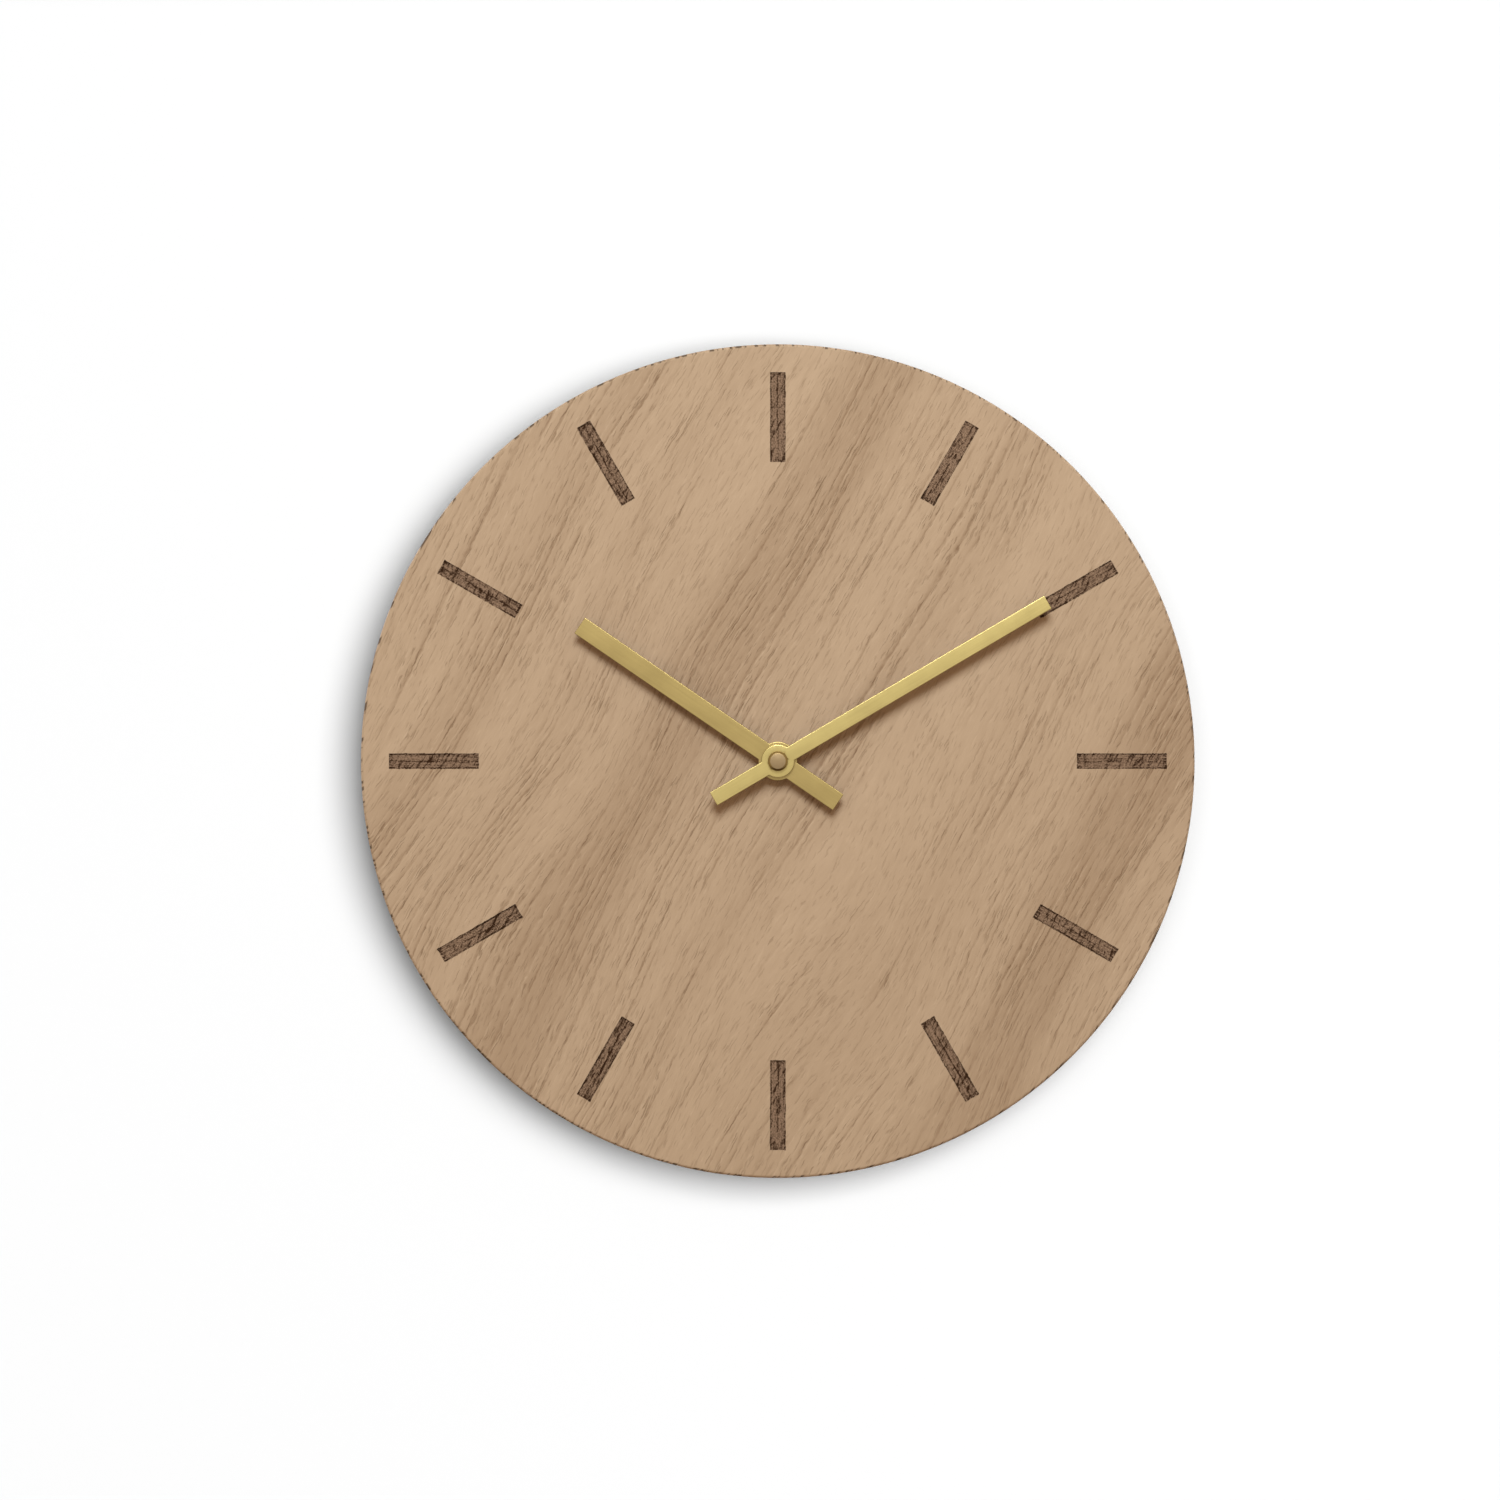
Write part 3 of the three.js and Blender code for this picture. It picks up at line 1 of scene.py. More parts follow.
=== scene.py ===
# %% [markdown]
# # A round oak wall clock
#
# The frame that this lesson loads holds every piece of the clock at its real size: an oak disc, two
# brass hands, and the quartz movement behind them. Nothing here moves or resizes those pieces. The
# lesson gives them their finish, and makes finer meshes for the ones that are seen from outside.

# %% Load the frame
import math
from functools import partialmethod

import bmesh
import bpy
from mathutils import Color, Matrix, Vector


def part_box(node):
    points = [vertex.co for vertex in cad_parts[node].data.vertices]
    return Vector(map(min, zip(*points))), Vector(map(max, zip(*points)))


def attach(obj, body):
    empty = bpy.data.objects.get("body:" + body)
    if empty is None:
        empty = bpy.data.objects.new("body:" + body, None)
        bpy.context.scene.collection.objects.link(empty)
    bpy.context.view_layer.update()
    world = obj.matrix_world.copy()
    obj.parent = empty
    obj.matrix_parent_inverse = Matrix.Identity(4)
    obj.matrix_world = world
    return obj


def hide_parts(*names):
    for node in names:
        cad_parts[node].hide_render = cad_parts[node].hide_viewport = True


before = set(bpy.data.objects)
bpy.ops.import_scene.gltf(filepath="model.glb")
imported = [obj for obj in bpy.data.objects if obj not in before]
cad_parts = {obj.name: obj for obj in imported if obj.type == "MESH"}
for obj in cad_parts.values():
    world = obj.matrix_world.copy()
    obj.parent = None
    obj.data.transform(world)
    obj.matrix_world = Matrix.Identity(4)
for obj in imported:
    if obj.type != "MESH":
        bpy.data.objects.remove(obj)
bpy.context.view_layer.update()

# %% [markdown]
# ## Places that the frame gives
#
# The dial faces -Y and the wall lies at Y = 0, so "front" is the lower Y of a box. Every place below
# is read from the frame, so a piece always lands where the CAD piece is.

# %% Places that the frame gives
MM = 0.001
dial_low, dial_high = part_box("oak_dial")
case_low, case_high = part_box("movement_case")
cover_low, cover_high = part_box("rear_cover")
nut_low, nut_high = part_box("cap_nut")
dial_radius = (dial_high.x - dial_low.x) / 2
dial_face = dial_low.y
dial_back = dial_high.y
centre = Vector((0, 0, (nut_low.z + nut_high.z) / 2))
print(f"dial radius {dial_radius:.4f} m, face at y {dial_face:.4f}, centre at z {centre.z:.4f}")

# %% [markdown]
# ## Camera
#
# The photograph is a straight front view through a long lens. The disc's centre and radius in its
# pixels give the scale and the small offset of the frame. Moving the camera sideways keeps the view
# straight, where turning it would tilt the dial.

# %% Camera
PHOTO_WIDTH = 1500  # pixels, as are the next two
DISC_IN_PHOTO = Vector((777.8, 761.1))
DISC_RADIUS_IN_PHOTO = 417.0
CAMERA_DISTANCE = 2.6
SENSOR_WIDTH = 36  # millimetres, as the lens is

scene = bpy.context.scene
pixel = dial_radius / DISC_RADIUS_IN_PHOTO
camera_data = bpy.data.cameras.new("front_camera")
camera_data.sensor_width = SENSOR_WIDTH
camera_data.lens = SENSOR_WIDTH * CAMERA_DISTANCE / (PHOTO_WIDTH * pixel)
camera = bpy.data.objects.new("front_camera", camera_data)
camera.location = (
    (PHOTO_WIDTH / 2 - DISC_IN_PHOTO.x) * pixel,
    dial_face - CAMERA_DISTANCE,
    centre.z + (DISC_IN_PHOTO.y - PHOTO_WIDTH / 2) * pixel,
)
camera.rotation_euler = (math.pi / 2, 0, 0)
scene.collection.objects.link(camera)
scene.camera = camera
scene.view_settings.view_transform = "Standard"
print(f"{camera_data.lens:.0f} mm lens, {pixel / MM:.3f} mm to a pixel of the photograph")

# %% [markdown]
# ## Shader sums
#
# A finish is easier to read as a sum than as a picture of nodes. This small class wraps one socket,
# and plus, minus, times and divide on it add the Math nodes. One method makes every node: it sets the
# node up first and then feeds its sockets.

# %% Shader sums
SHADER = "Principled BSDF"


def feed(node, inputs):
    """Give a node's sockets their values, or link them to other sockets."""
    for key, value in dict(inputs).items():
        if isinstance(value, Wire):
            node.id_data.links.new(value.socket, node.inputs[key])
        else:
            node.inputs[key].default_value = value


class Wire:
    """A shader socket that can be calculated with."""

    def __init__(self, socket):
        self.socket = socket

    def node(self, kind, settings=(), inputs=(), output=0):
        """Add a node to the same tree, set it up, feed it, and return one of its outputs."""
        made = self.socket.id_data.nodes.new("ShaderNode" + kind)
        for key, value in dict(settings).items():
            setattr(made, key, value)
        feed(made, inputs)
        return Wire(made.outputs[output])

    def __getitem__(self, output):
        return Wire(self.socket.node.outputs[output])

    def calc(self, operation, *others):
        """Add a Math node with this value as its first input."""
        return self.node("Math", {"operation": operation}, enumerate((self, *others)))

    __abs__ = partialmethod(calc, "ABSOLUTE")
    __add__ = __radd__ = partialmethod(calc, "ADD")
    __sub__ = partialmethod(calc, "SUBTRACT")
    __mul__ = __rmul__ = partialmethod(calc, "MULTIPLY")
    __truediv__ = partialmethod(calc, "DIVIDE")

    def __rsub__(self, other):
        return self.node("Math", {"operation": "SUBTRACT"}, {0: other, 1: self})

    def reach(self, other):
        """How far off a point lies that has this value and another as its two coordinates."""
        return (self * self + other * other).calc("SQRT")

    def wave(self, length):
        """A wave between 0 and 1."""
        return (self * (math.tau / length)).calc("COSINE") * 0.5 + 0.5

    def rise(self, low, high):
        """0 below low, 1 above high, and a smooth slope between them."""
        inputs = {"Value": self, "From Min": low, "From Max": high}
        return self.node("MapRange", {"interpolation_type": "SMOOTHSTEP"}, inputs)

    def within(self, half, fade):
        """1 up to a distance of half from nought, 0 beyond it, and a soft edge between."""
        return 1 - abs(self).rise(half - fade, half + fade)

    def blend(self, first, second):
        """A colour between two colours, with this value as the share of the second."""
        return self.node("Mix", {"data_type": "RGBA"}, {0: self, 6: first, 7: second}, 2)

    def noise(self, x, y, z, detail=2.0, roughness=0.5):
        """Noise at a place given by three values, each in units of the noise's own size."""
        where = self.node("CombineXYZ", inputs={"X": x, "Y": y, "Z": z})
        inputs = {"Vector": where, "Scale": 1.0, "Detail": detail, "Roughness": roughness}
        return self.node("TexNoise", inputs=inputs)

    def bump(self, depth):
        """A bent normal, with this value as the height in shares of depth."""
        return self.node("Bump", inputs={"Distance": depth, "Height": self})


def drawn_noise(along, across, depth, length, width, detail=2.0, roughness=0.5):
    """Noise of one size along the first of three directions, and of another along the other two."""
    return along.noise(along / length, across / width, depth / width, detail, roughness)


def even_noise(x, y, z, size, detail=2.0, roughness=0.5):
    """Noise of one size in all directions."""
    return drawn_noise(x, y, z, size, size, detail, roughness)


def srgb(red, green, blue):
    """A colour as it is read off a screen, 0 to 255, in the linear values that shaders use."""
    linear = Color((red / 255, green / 255, blue / 255)).from_srgb_to_scene_linear()
    return (*linear, 1.0)


def new_finish(name):
    """A material, and the X, Y and Z of the point that is shaded."""
    material = bpy.data.materials.new(name)
    material.use_nodes = True
    place = Wire(material.node_tree.nodes[SHADER].outputs[0]).node("TexCoord", output="Object")
    parts = place.node("SeparateXYZ", inputs={"Vector": place})
    return material, [parts[axis] for axis in "XYZ"]


def finished(material, colour, roughness, normal, metallic=0.0, specular=0.5):
    """Feed the shader of a material, and return the material."""
    inputs = {"Base Color": colour, "Roughness": roughness, "Normal": normal}
    inputs |= {"Metallic": metallic, "Specular IOR Level": specular}
    feed(material.node_tree.nodes[SHADER], inputs)
    return material


print("shader sums ready")

# %% [markdown]
# ## Wall, floor and light
#
# The clock hangs on a white wall, and its soft shadow falls to the left and below. The wall is a sheet
# with a coat that takes the shadow and a faint glow. From behind it is clear, and it stops no light, so
# the back of the clock can be seen too. A floor far below serves views from above.
#
# In the photograph the shadows on the wood are warm. So the world gives a warm fill from all sides, and
# cooler lamps add what it lacks: together they are neutral. The wall's shadow is grey, so its coat has
# the inverse tint of the fill, and its lamps have the fill's own tint.
#
# As in a studio the clock and the wall are lit apart, and light linking keeps each lamp to its task. A
# soft box above the clock gives the hands their shadows, two weak ones behind light the rim, and two
# large ones at the right give the wall its shadow. Brass mirrors a white room with a dim floor.

# %% Wall and floor
WALL_SIZE = 0.9
WALL_GAP = 0.3 * MM
FLOOR_DROP = 1.4  # below the clock's centre
FILL = Vector((0.36, 0.275, 0.205))  # warm light from all sides
WALL_FILL = 0.06  # what the wall gives back of the fill
WALL_GLOW = 0.02
FLOOR_GLOW = 0.8
WHITE = (1.0, 1.0, 1.0, 1.0)


def backdrop_finish(name, coat, glow):
    """A coat with some glow, seen from the front only."""
    material = bpy.data.materials.new(name)
    material.use_nodes = True
    material.node_tree.nodes.clear()
    output = material.node_tree.nodes.new("ShaderNodeOutputMaterial")
    start = Wire(output.inputs["Surface"])
    lit = start.node("BsdfDiffuse", inputs={"Color": coat})
    lifted = start.node("Emission", inputs={"Color": WHITE, "Strength": glow})
    front = start.node("AddShader", inputs={0: lit, 1: lifted})
    behind = start.node("NewGeometry", output="Backfacing")
    clear = start.node("BsdfTransparent")
    feed(output, {"Surface": start.node("MixShader", inputs={0: behind, 1: front, 2: clear})})
    return material


def rotate(bm, angle, axis, middle=(0, 0, 0)):
    """Turn a whole mesh about a line through a point."""
    bmesh.ops.rotate(bm, verts=bm.verts[:], cent=middle, matrix=Matrix.Rotation(angle, 3, axis))


def move(bm, step):
    """Move a whole mesh."""
    bmesh.ops.translate(bm, verts=bm.verts[:], vec=step)


def to_object(bm, name):
    """Make a mesh into an object of the scene."""
    mesh = bpy.data.meshes.new(name)
    bm.to_mesh(mesh)
    bm.free()
    made = bpy.data.objects.new(name, mesh)
    scene.collection.objects.link(made)
    return made


def backdrop(name, size, place, turn, finish):
    """A flat sheet that only the camera sees."""
    bm = bmesh.new()
    bmesh.ops.create_grid(bm, x_segments=1, y_segments=1, size=size / 2)
    rotate(bm, turn, "X")
    move(bm, place)
    sheet = to_object(bm, name)
    sheet.data.materials.append(finish)
    sheet.visible_diffuse = False
    sheet.visible_glossy = False
    sheet.visible_shadow = False
    return sheet


wall_coat = (*(WALL_FILL / channel for channel in FILL), 1.0)
wall_white = backdrop_finish("wall_white", wall_coat, WALL_GLOW)
floor_white = backdrop_finish("floor_white", wall_coat, FLOOR_GLOW)
wall_place = Vector((camera.location.x, dial_back + WALL_GAP, camera.location.z))
sheets = [
    backdrop("wall", WALL_SIZE, wall_place, math.pi / 2, wall_white),
    backdrop("floor", 2 * WALL_SIZE, centre - Vector((0, 0, FLOOR_DROP)), 0.0, floor_white),
]
print(len(sheets), "sheets")

# %% Light
FULL_LIGHT = Vector((0.97, 0.97, 0.97))
KEY = FULL_LIGHT - FILL  # what the lamps add
SIDE_SHARE = 0.35  # of the key light, for each lamp behind the clock
WALL_LIGHT = 0.742  # what the wall gives back of its key lamp
WALL_WASH = 0.389  # and of the wider lamp beside it
DIM = (0.05, 0.035, 0.02, 1.0)  # what brass mirrors from below
DIM_RISE = (-0.85, -0.4)  # between these heights of a mirrored ray the floor gives way to the room


def soft_box(name, direction, distance, size, light, sheets, state):
    """A square lamp that gives the dial's plane a light, where 1 shows a colour as written.

    It lights the sheets alone (INCLUDE) or everything but them (EXCLUDE).
    """
    data = bpy.data.lights.new(name, "AREA")
    data.size = size
    facing = abs(direction.normalized().y)
    data.energy = max(light) * math.pi**2 * distance**2 / facing
    data.color = light / max(light)
    lamp = bpy.data.objects.new(name, data)
    lamp.location = centre + direction.normalized() * distance
    lamp.rotation_euler = direction.to_track_quat("Z", "Y").to_euler()
    scene.collection.objects.link(lamp)
    reach = bpy.data.collections.new(name + "_reach")
    for sheet in sheets:
        reach.objects.link(sheet)
    for entry in reach.collection_objects:
        entry.light_linking.link_state = state
    lamp.light_linking.receiver_collection = reach


def studio_world():
    """An even warm light. The camera sees white instead, and a mirror sees white with a dim floor."""
    world = bpy.data.worlds.new("studio")
    world.use_nodes = True
    world.node_tree.nodes.clear()
    output = world.node_tree.nodes.new("ShaderNodeOutputWorld")
    start = Wire(output.inputs["Surface"])
    path = start.node("LightPath")
    seen = path["Is Camera Ray"].calc("MAXIMUM", path["Is Glossy Ray"])
    light = start.node("Background", inputs={"Color": (*FILL, 1.0)})
    white = start.node("Background", inputs={"Color": WHITE})
    dim = start.node("Background", inputs={"Color": DIM})
    direction = start.node("TexCoord", output="Generated")
    height = start.node("SeparateXYZ", inputs={"Vector": direction}, output="Z")
    mirrored = path["Is Glossy Ray"] * (1 - height.rise(*DIM_RISE))
    room = start.node("MixShader", inputs={0: mirrored, 1: white, 2: dim})
    feed(output, {"Surface": start.node("MixShader", inputs={0: seen, 1: light, 2: room})})
    scene.world = world


studio_world()
wall_tint = FILL / WALL_FILL
lamps = (  # name, direction, distance, size, light, and what it is for
    ("wall_lamp", (0.34, -1.0, 0.155), 12.0, 8.8, wall_tint * WALL_LIGHT, "INCLUDE"),
    ("wash_lamp", (0.08, -1.0, 0.12), 12.0, 11.6, wall_tint * WALL_WASH, "INCLUDE"),
    ("clock_lamp", (0.0, -1.0, 0.66), 2.0, 0.8, KEY, "EXCLUDE"),
    ("left_lamp", (-0.8, 0.5, 0.35), 2.0, 1.0, KEY * SIDE_SHARE, "EXCLUDE"),
    ("right_lamp", (0.8, 0.5, 0.35), 2.0, 1.0, KEY * SIDE_SHARE, "EXCLUDE"),
)
for name, direction, distance, size, light, state in lamps:
    soft_box(name, Vector(direction), distance, size, light, sheets, state)
print("world and", len(lamps), "lamps")

# %% [markdown]
# ## Mesh tools
#
# A few ways of shaping cover almost every piece here. A turned part is a profile that is spun round an
# axis. A sheet part is a flat outline that is thickened. A carved part is a solid with other solids
# taken out by Boolean modifiers. Real edges are never quite sharp, so most pieces end with a narrow
# bevel, and a weighted-normal modifier keeps their flat faces flat in the light.

# %% Mesh tools
SHARP = math.radians(30)
WELD = 0.001 * MM
DEEP = Vector((0, 1, 0))  # the direction of the hands' axis


def clean(bm):
    """Merge doubled points and turn every face outwards."""
    bmesh.ops.remove_doubles(bm, verts=bm.verts[:], dist=WELD)
    bmesh.ops.recalc_face_normals(bm, faces=bm.faces[:])


def sharp_edges(bm):
    """The edges where two faces meet at more than a slight angle."""
    return [edge for edge in bm.edges if edge.is_manifold and edge.calc_face_angle() > SHARP]


def bevel(bm, parts, affect, width, segments):
    """Round edges, or the corners of a sheet."""
    settings = {"affect": affect, "segments": segments, "profile": 0.5, "material": -1}
    bmesh.ops.bevel(bm, geom=parts, offset=width, clamp_overlap=affect == "EDGES", **settings)


def ease(bm, width, segments=2, chosen=lambda edge: True):
    """Round the chosen sharp edges a little."""
    clean(bm)
    bevel(bm, [edge for edge in sharp_edges(bm) if chosen(edge)], "EDGES", width, segments)
    return bm


def join(bm, points):
    """Add an edge from each point to the next."""
    return [bm.edges.new(pair) for pair in zip(points, points[1:])]


def spin(bm, points, angle, steps, **settings):
    """Sweep a row of points round an axis, and return the last points and edges."""
    geom = points + join(bm, points)
    return bmesh.ops.spin(bm, geom=geom, angle=angle, steps=steps, **settings)["geom_last"]


def turned(profile, middle=centre, axis=DEEP, steps=96):
    """Spin a profile of (radius, height along the axis) points into a solid of revolution."""
    bm = bmesh.new()
    out = axis.orthogonal().normalized()
    points = [bm.verts.new(middle + out * radius + axis * height) for radius, height in profile]
    spin(bm, points, math.tau, steps, cent=middle, axis=axis, use_merge=True)
    clean(bm)
    return bm


def thicken(bm, depth):
    """Give a flat sheet a thickness along a vector."""
    grown = bmesh.ops.extrude_face_region(bm, geom=bm.faces[:])["geom"]
    moved = [part for part in grown if isinstance(part, bmesh.types.BMVert)]
    bmesh.ops.translate(bm, verts=moved, vec=depth)
    clean(bm)
    return bm


def plate(left, right, bottom, top, back, front, corner=0.0, segments=12):
    """A plate that lies in the plane of the dial, with its corners rounded."""
    bm = bmesh.new()
    places = ((left, bottom), (right, bottom), (right, top), (left, top))
    points = [bm.verts.new((x, back, z)) for x, z in places]
    bm.faces.new(points)
    if corner > 0:
        bevel(bm, points, "VERTICES", corner, segments)
    return thicken(bm, (0, front - back, 0))


def drum(radius, back, front, middle=centre, steps=64):
    """A plain round bar along the hands' axis."""
    return turned([(0, back), (radius, back), (radius, front), (0, front)], middle, steps=steps)


def carve(bm, cutters, operation="DIFFERENCE"):
    """Take solids out of a solid, or add them to it, with one Boolean modifier each."""
    clean(bm)
    body = to_object(bm, "carved")
    tools = [to_object(cutter, "cutter") for cutter in cutters]
    for tool in tools:
        cut = body.modifiers.new("cut", "BOOLEAN")
        cut.operation = operation
        cut.solver = "EXACT"
        cut.object = tool
    result = bmesh.new()
    result.from_object(body, bpy.context.evaluated_depsgraph_get())
    for leftover in (body, *tools):
        mesh = leftover.data
        bpy.data.objects.remove(leftover)
        bpy.data.meshes.remove(mesh)
    clean(result)
    return result


def piece(bm, name, slot, finish, *nodes, body="dial_body"):
    """Make the finished object, which moves with a body and stands for CAD nodes."""
    clean(bm)
    for face in bm.faces:
        face.smooth = True
    for edge in sharp_edges(bm):
        edge.smooth = False
    loose = sum(not edge.is_manifold for edge in bm.edges)
    made = to_object(bm, name)
    made.data.materials.append(finish)
    flat = made.modifiers.new("flat_faces", "WEIGHTED_NORMAL")
    flat.keep_sharp = True
    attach(made, body)
    if nodes:
        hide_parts(*nodes)
    print(f"{name}: {len(made.data.polygons)} faces, {loose} open edges")


print("mesh tools ready")

# %% [markdown]
# ## Oak, with burnt marks
#
# The board is plain-sawn oak. Its grain runs from lower left to upper right. The lines of the yearly
# rings are thin, a little ragged, and clear in some places only, each with a light line beside it. Two
# broad belts are darker and a third is faint, and below the middle lies a quiet stretch with few lines.
# Fine fibres lie everywhere. Open pores show as short dashes, and as dark nicks on the rim's front edge.
#
# The place is first turned into distances along and across the grain. The distance across, bent by slow
# and quick noise, counts the rings, and its fraction is the share of a year's growth. The depth counts
# too, so the grain carries on over the rim.
#
# The marks are burnt into the same wood. Folding the angle round the centre into one twelfth gives each
# mark the same local plan: dark edges, a dark middle line, and fine lines that the beam has left. The
# grain still shows through, and where it crosses a mark it has burnt darker.

# %% Oak grain
GRAIN_ANGLE = math.radians(61.5)  # above the horizontal
RING_WIDTH = 2.9 * MM
BEND = 30 * MM  # how far slow bends push the rings aside
RIPPLE = 1.5 * MM  # and quicker ripples
JAG = 0.7 * MM  # and ragged edges
PALE_OAK = srgb(199, 169, 137)
DARK_OAK = srgb(149, 117, 87)
LINE_OAK = srgb(130, 98, 69)
GLEAM_OAK = srgb(216, 187, 154)  # beside a ring line
PORE_OAK = srgb(118, 87, 59)
# Each dark belt: its middle across the grain, its reach and its strength.
BELTS = ((-46 * MM, 24 * MM, 0.8), (101 * MM, 28 * MM, 0.9), (-118 * MM, 14 * MM, 0.35))
QUIET = (-58 * MM, 36 * MM)  # along and across the grain, the middle of the stretch with few lines
QUIET_REACH = (95 * MM, 50 * MM)


def oak_grain(x, y, z):
    """Distance along the grain, and a ragged distance across it that counts the rings."""
    rise = z - centre.z
    along = x * math.cos(GRAIN_ANGLE) + rise * math.sin(GRAIN_ANGLE)
    across = x * math.sin(GRAIN_ANGLE) - rise * math.cos(GRAIN_ANGLE) + y * 0.5
    bend = drawn_noise(along, across, y, 160 * MM, 70 * MM, 1.0)
    ripple = drawn_noise(along, across, y, 10 * MM, 4 * MM, 4.0, 0.6)
    jag = drawn_noise(along, across, y, 2.5 * MM, 1.2 * MM)
    wander = (bend - 0.5) * BEND + (ripple - 0.5) * RIPPLE + (jag - 0.5) * JAG
    return along, across + wander


def oak_wood(y, along, ring):
    """Colour of the bare wood, the height of its surface, and the streaks that a burn follows."""

    def streaks(length, width, detail=2.0, roughness=0.5):
        return drawn_noise(along, ring, y, length, width, detail, roughness)

    pace = drawn_noise(ring, along, y, 30 * MM, 700 * MM, 1.0)
    years = ring / RING_WIDTH + (pace - 0.5) * 7
    season = years.calc("FRACT")
    clearness = ring.noise((years - season) * 3.7, along / (56 * MM), y / (56 * MM))
    broad = streaks(230 * MM, 15 * MM, 1.0)
    mottle = streaks(14 * MM, 3 * MM)
    fibre = streaks(7 * MM, 0.6 * MM, 3.0, 0.65)
    belt = 0.0
    for middle, reach, strength in BELTS:
        belt = belt + strength * (1 - abs(ring - middle).rise(0.15 * reach, reach))
    ahead = (along - QUIET[0]) / QUIET_REACH[0]
    aside = (ring - QUIET[1]) / QUIET_REACH[1]
    quiet = 1 - (ahead * ahead + aside * aside).rise(0.2, 1.0)
    clearness = clearness + belt * 0.04 - quiet * 0.09
    shows = (clearness + (broad - 0.5) * 0.4 + (mottle - 0.5) * 0.4).rise(0.40, 0.72)
    late = season.rise(0.1, 0.85) * (1 - season.rise(0.88, 1.0)) * shows
    notches = streaks(2.5 * MM, 0.5 * MM).rise(0.35, 0.65)
    line = season.rise(0.60, 0.85) * (1 - season.rise(0.88, 0.99)) * shows * (0.35 + 0.65 * notches)
    gleam = (1 - season.rise(0.02, 0.22)) * shows * notches
    dash = streaks(5 * MM, 0.42 * MM, 1.0).rise(0.59, 0.71)
    pore = dash * (0.5 + 0.5 * shows)
    fleck = streaks(7 * MM, 0.8 * MM, 1.0).rise(0.60, 0.78)
    dark = 0.17 + belt * 0.34 + (broad - 0.5) * 0.42 + (mottle - 0.5) * 0.26 + (fibre - 0.5) * 0.30
    dark = dark + late * 0.10 - fleck * 0.17
    wood = dark.blend(PALE_OAK, DARK_OAK)
    wood = (gleam * 0.42).blend(wood, GLEAM_OAK)
    wood = (line * 0.54).blend(wood, LINE_OAK)
    wood = (pore * 0.40).blend(wood, PORE_OAK)
    relief = fibre * 0.4 - line * 0.6 - pore * 0.8
    return wood, relief, line + streaks(4 * MM, 0.9 * MM).rise(0.52, 0.68)


print(f"grain at {math.degrees(GRAIN_ANGLE):.0f} degrees, rings about {RING_WIDTH / MM:.1f} mm wide")

# %% Burnt marks and the oak finish
MARK_COUNT = 12
MARK_LENGTH = 30 * MM
MARK_WIDTH = 5 * MM
MARK_DEPTH = 0.4 * MM
MARK_MARGIN = 9.5 * MM
MARK_LINES = 10  # that the beam leaves side by side
MARK_MIDDLE = dial_radius - MARK_MARGIN - MARK_LENGTH / 2
MARK_EDGE = 0.25 * MM  # over which a mark's edge fades out
EDGE_ROUND = 1 * MM  # of the disc's rim
NICK = srgb(82, 63, 46)
SINGED = srgb(158, 127, 101)
CHARRED = srgb(52, 29, 9)


def mark_plan(x, z):
    """Distances along and across the nearest mark from its middle, and the mark's number."""
    rise = z - centre.z
    sector = math.tau / MARK_COUNT
    angle = x.calc("ARCTAN2", rise)
    number = (angle / sector).calc("ROUND")
    turn = angle - number * sector
    radius = x.reach(rise)
    return radius * turn.calc("COSINE") - MARK_MIDDLE, radius * turn.calc("SINE"), number


def burnt_mark(x, y, z, streak):
    """Where the wood is burnt, and how dark."""
    along, across, number = mark_plan(x, z)
    ragged = (streak - 0.3) * (0.15 * MM)
    aside = abs(across) - ragged
    ahead = abs(along) - ragged
    inside = 1 - y.rise(dial_face + 2 * MARK_DEPTH, dial_face + 4 * MARK_DEPTH)
    for distance, half in ((aside, MARK_WIDTH / 2), (ahead, MARK_LENGTH / 2)):
        inside = inside * (1 - distance.rise(half - 0.2 * MARK_EDGE, half + MARK_EDGE))
    line = across.wave(MARK_WIDTH / MARK_LINES)
    uneven = x.noise(along / (7 * MM), across / (0.5 * MM), number * 7.3)
    speckle = x.noise(along / (0.6 * MM), across / (0.5 * MM), number * 7.3)
    edge = aside.rise(0.36 * MARK_WIDTH, 0.48 * MARK_WIDTH)
    tip = ahead.rise(0.44 * MARK_LENGTH, 0.495 * MARK_LENGTH)
    spine = 1 - abs(across + (uneven - 0.5) * (0.8 * MM)).rise(0.05 * MM, 0.5 * MM)
    outline = (edge + tip + spine) * (uneven * 0.6 + speckle * 0.4).rise(0.38, 0.58)
    passes = uneven.rise(0.48, 0.66)
    char = outline * 0.5 + passes * 0.3 + streak * 0.7 + line * 0.2 + (speckle - 0.5) * 1.8
    return inside, char, line


def oak_finish():
    material, (x, y, z) = new_finish("oiled_oak")
    along, ring = oak_grain(x, y, z)
    wood, relief, streak = oak_wood(y, along, ring)
    rim = x.reach(z - centre.z).rise(dial_radius - EDGE_ROUND, dial_radius - 0.4 * EDGE_ROUND)
    rim = rim * (1 - y.rise(dial_face + 0.8 * EDGE_ROUND, dial_face + 1.2 * EDGE_ROUND))
    nick = rim * drawn_noise(ring, along, y, 0.9 * MM, 6 * MM, 1.0).rise(0.52, 0.64)
    wood = (nick * 0.9).blend(wood, NICK)
    burnt, char, line = burnt_mark(x, y, z, streak)
    scorched = char.rise(-0.35, 1.05).blend(SINGED, CHARRED)
    roughness = 0.55 - relief * 0.12 + burnt * 0.2
    normal = (relief + line * burnt * 0.5).bump(0.12 * MM)
    return finished(material, burnt.blend(wood, scorched), roughness, normal, specular=0.1)


oak = oak_finish()
print("oak finish with", len(oak.node_tree.nodes), "nodes")

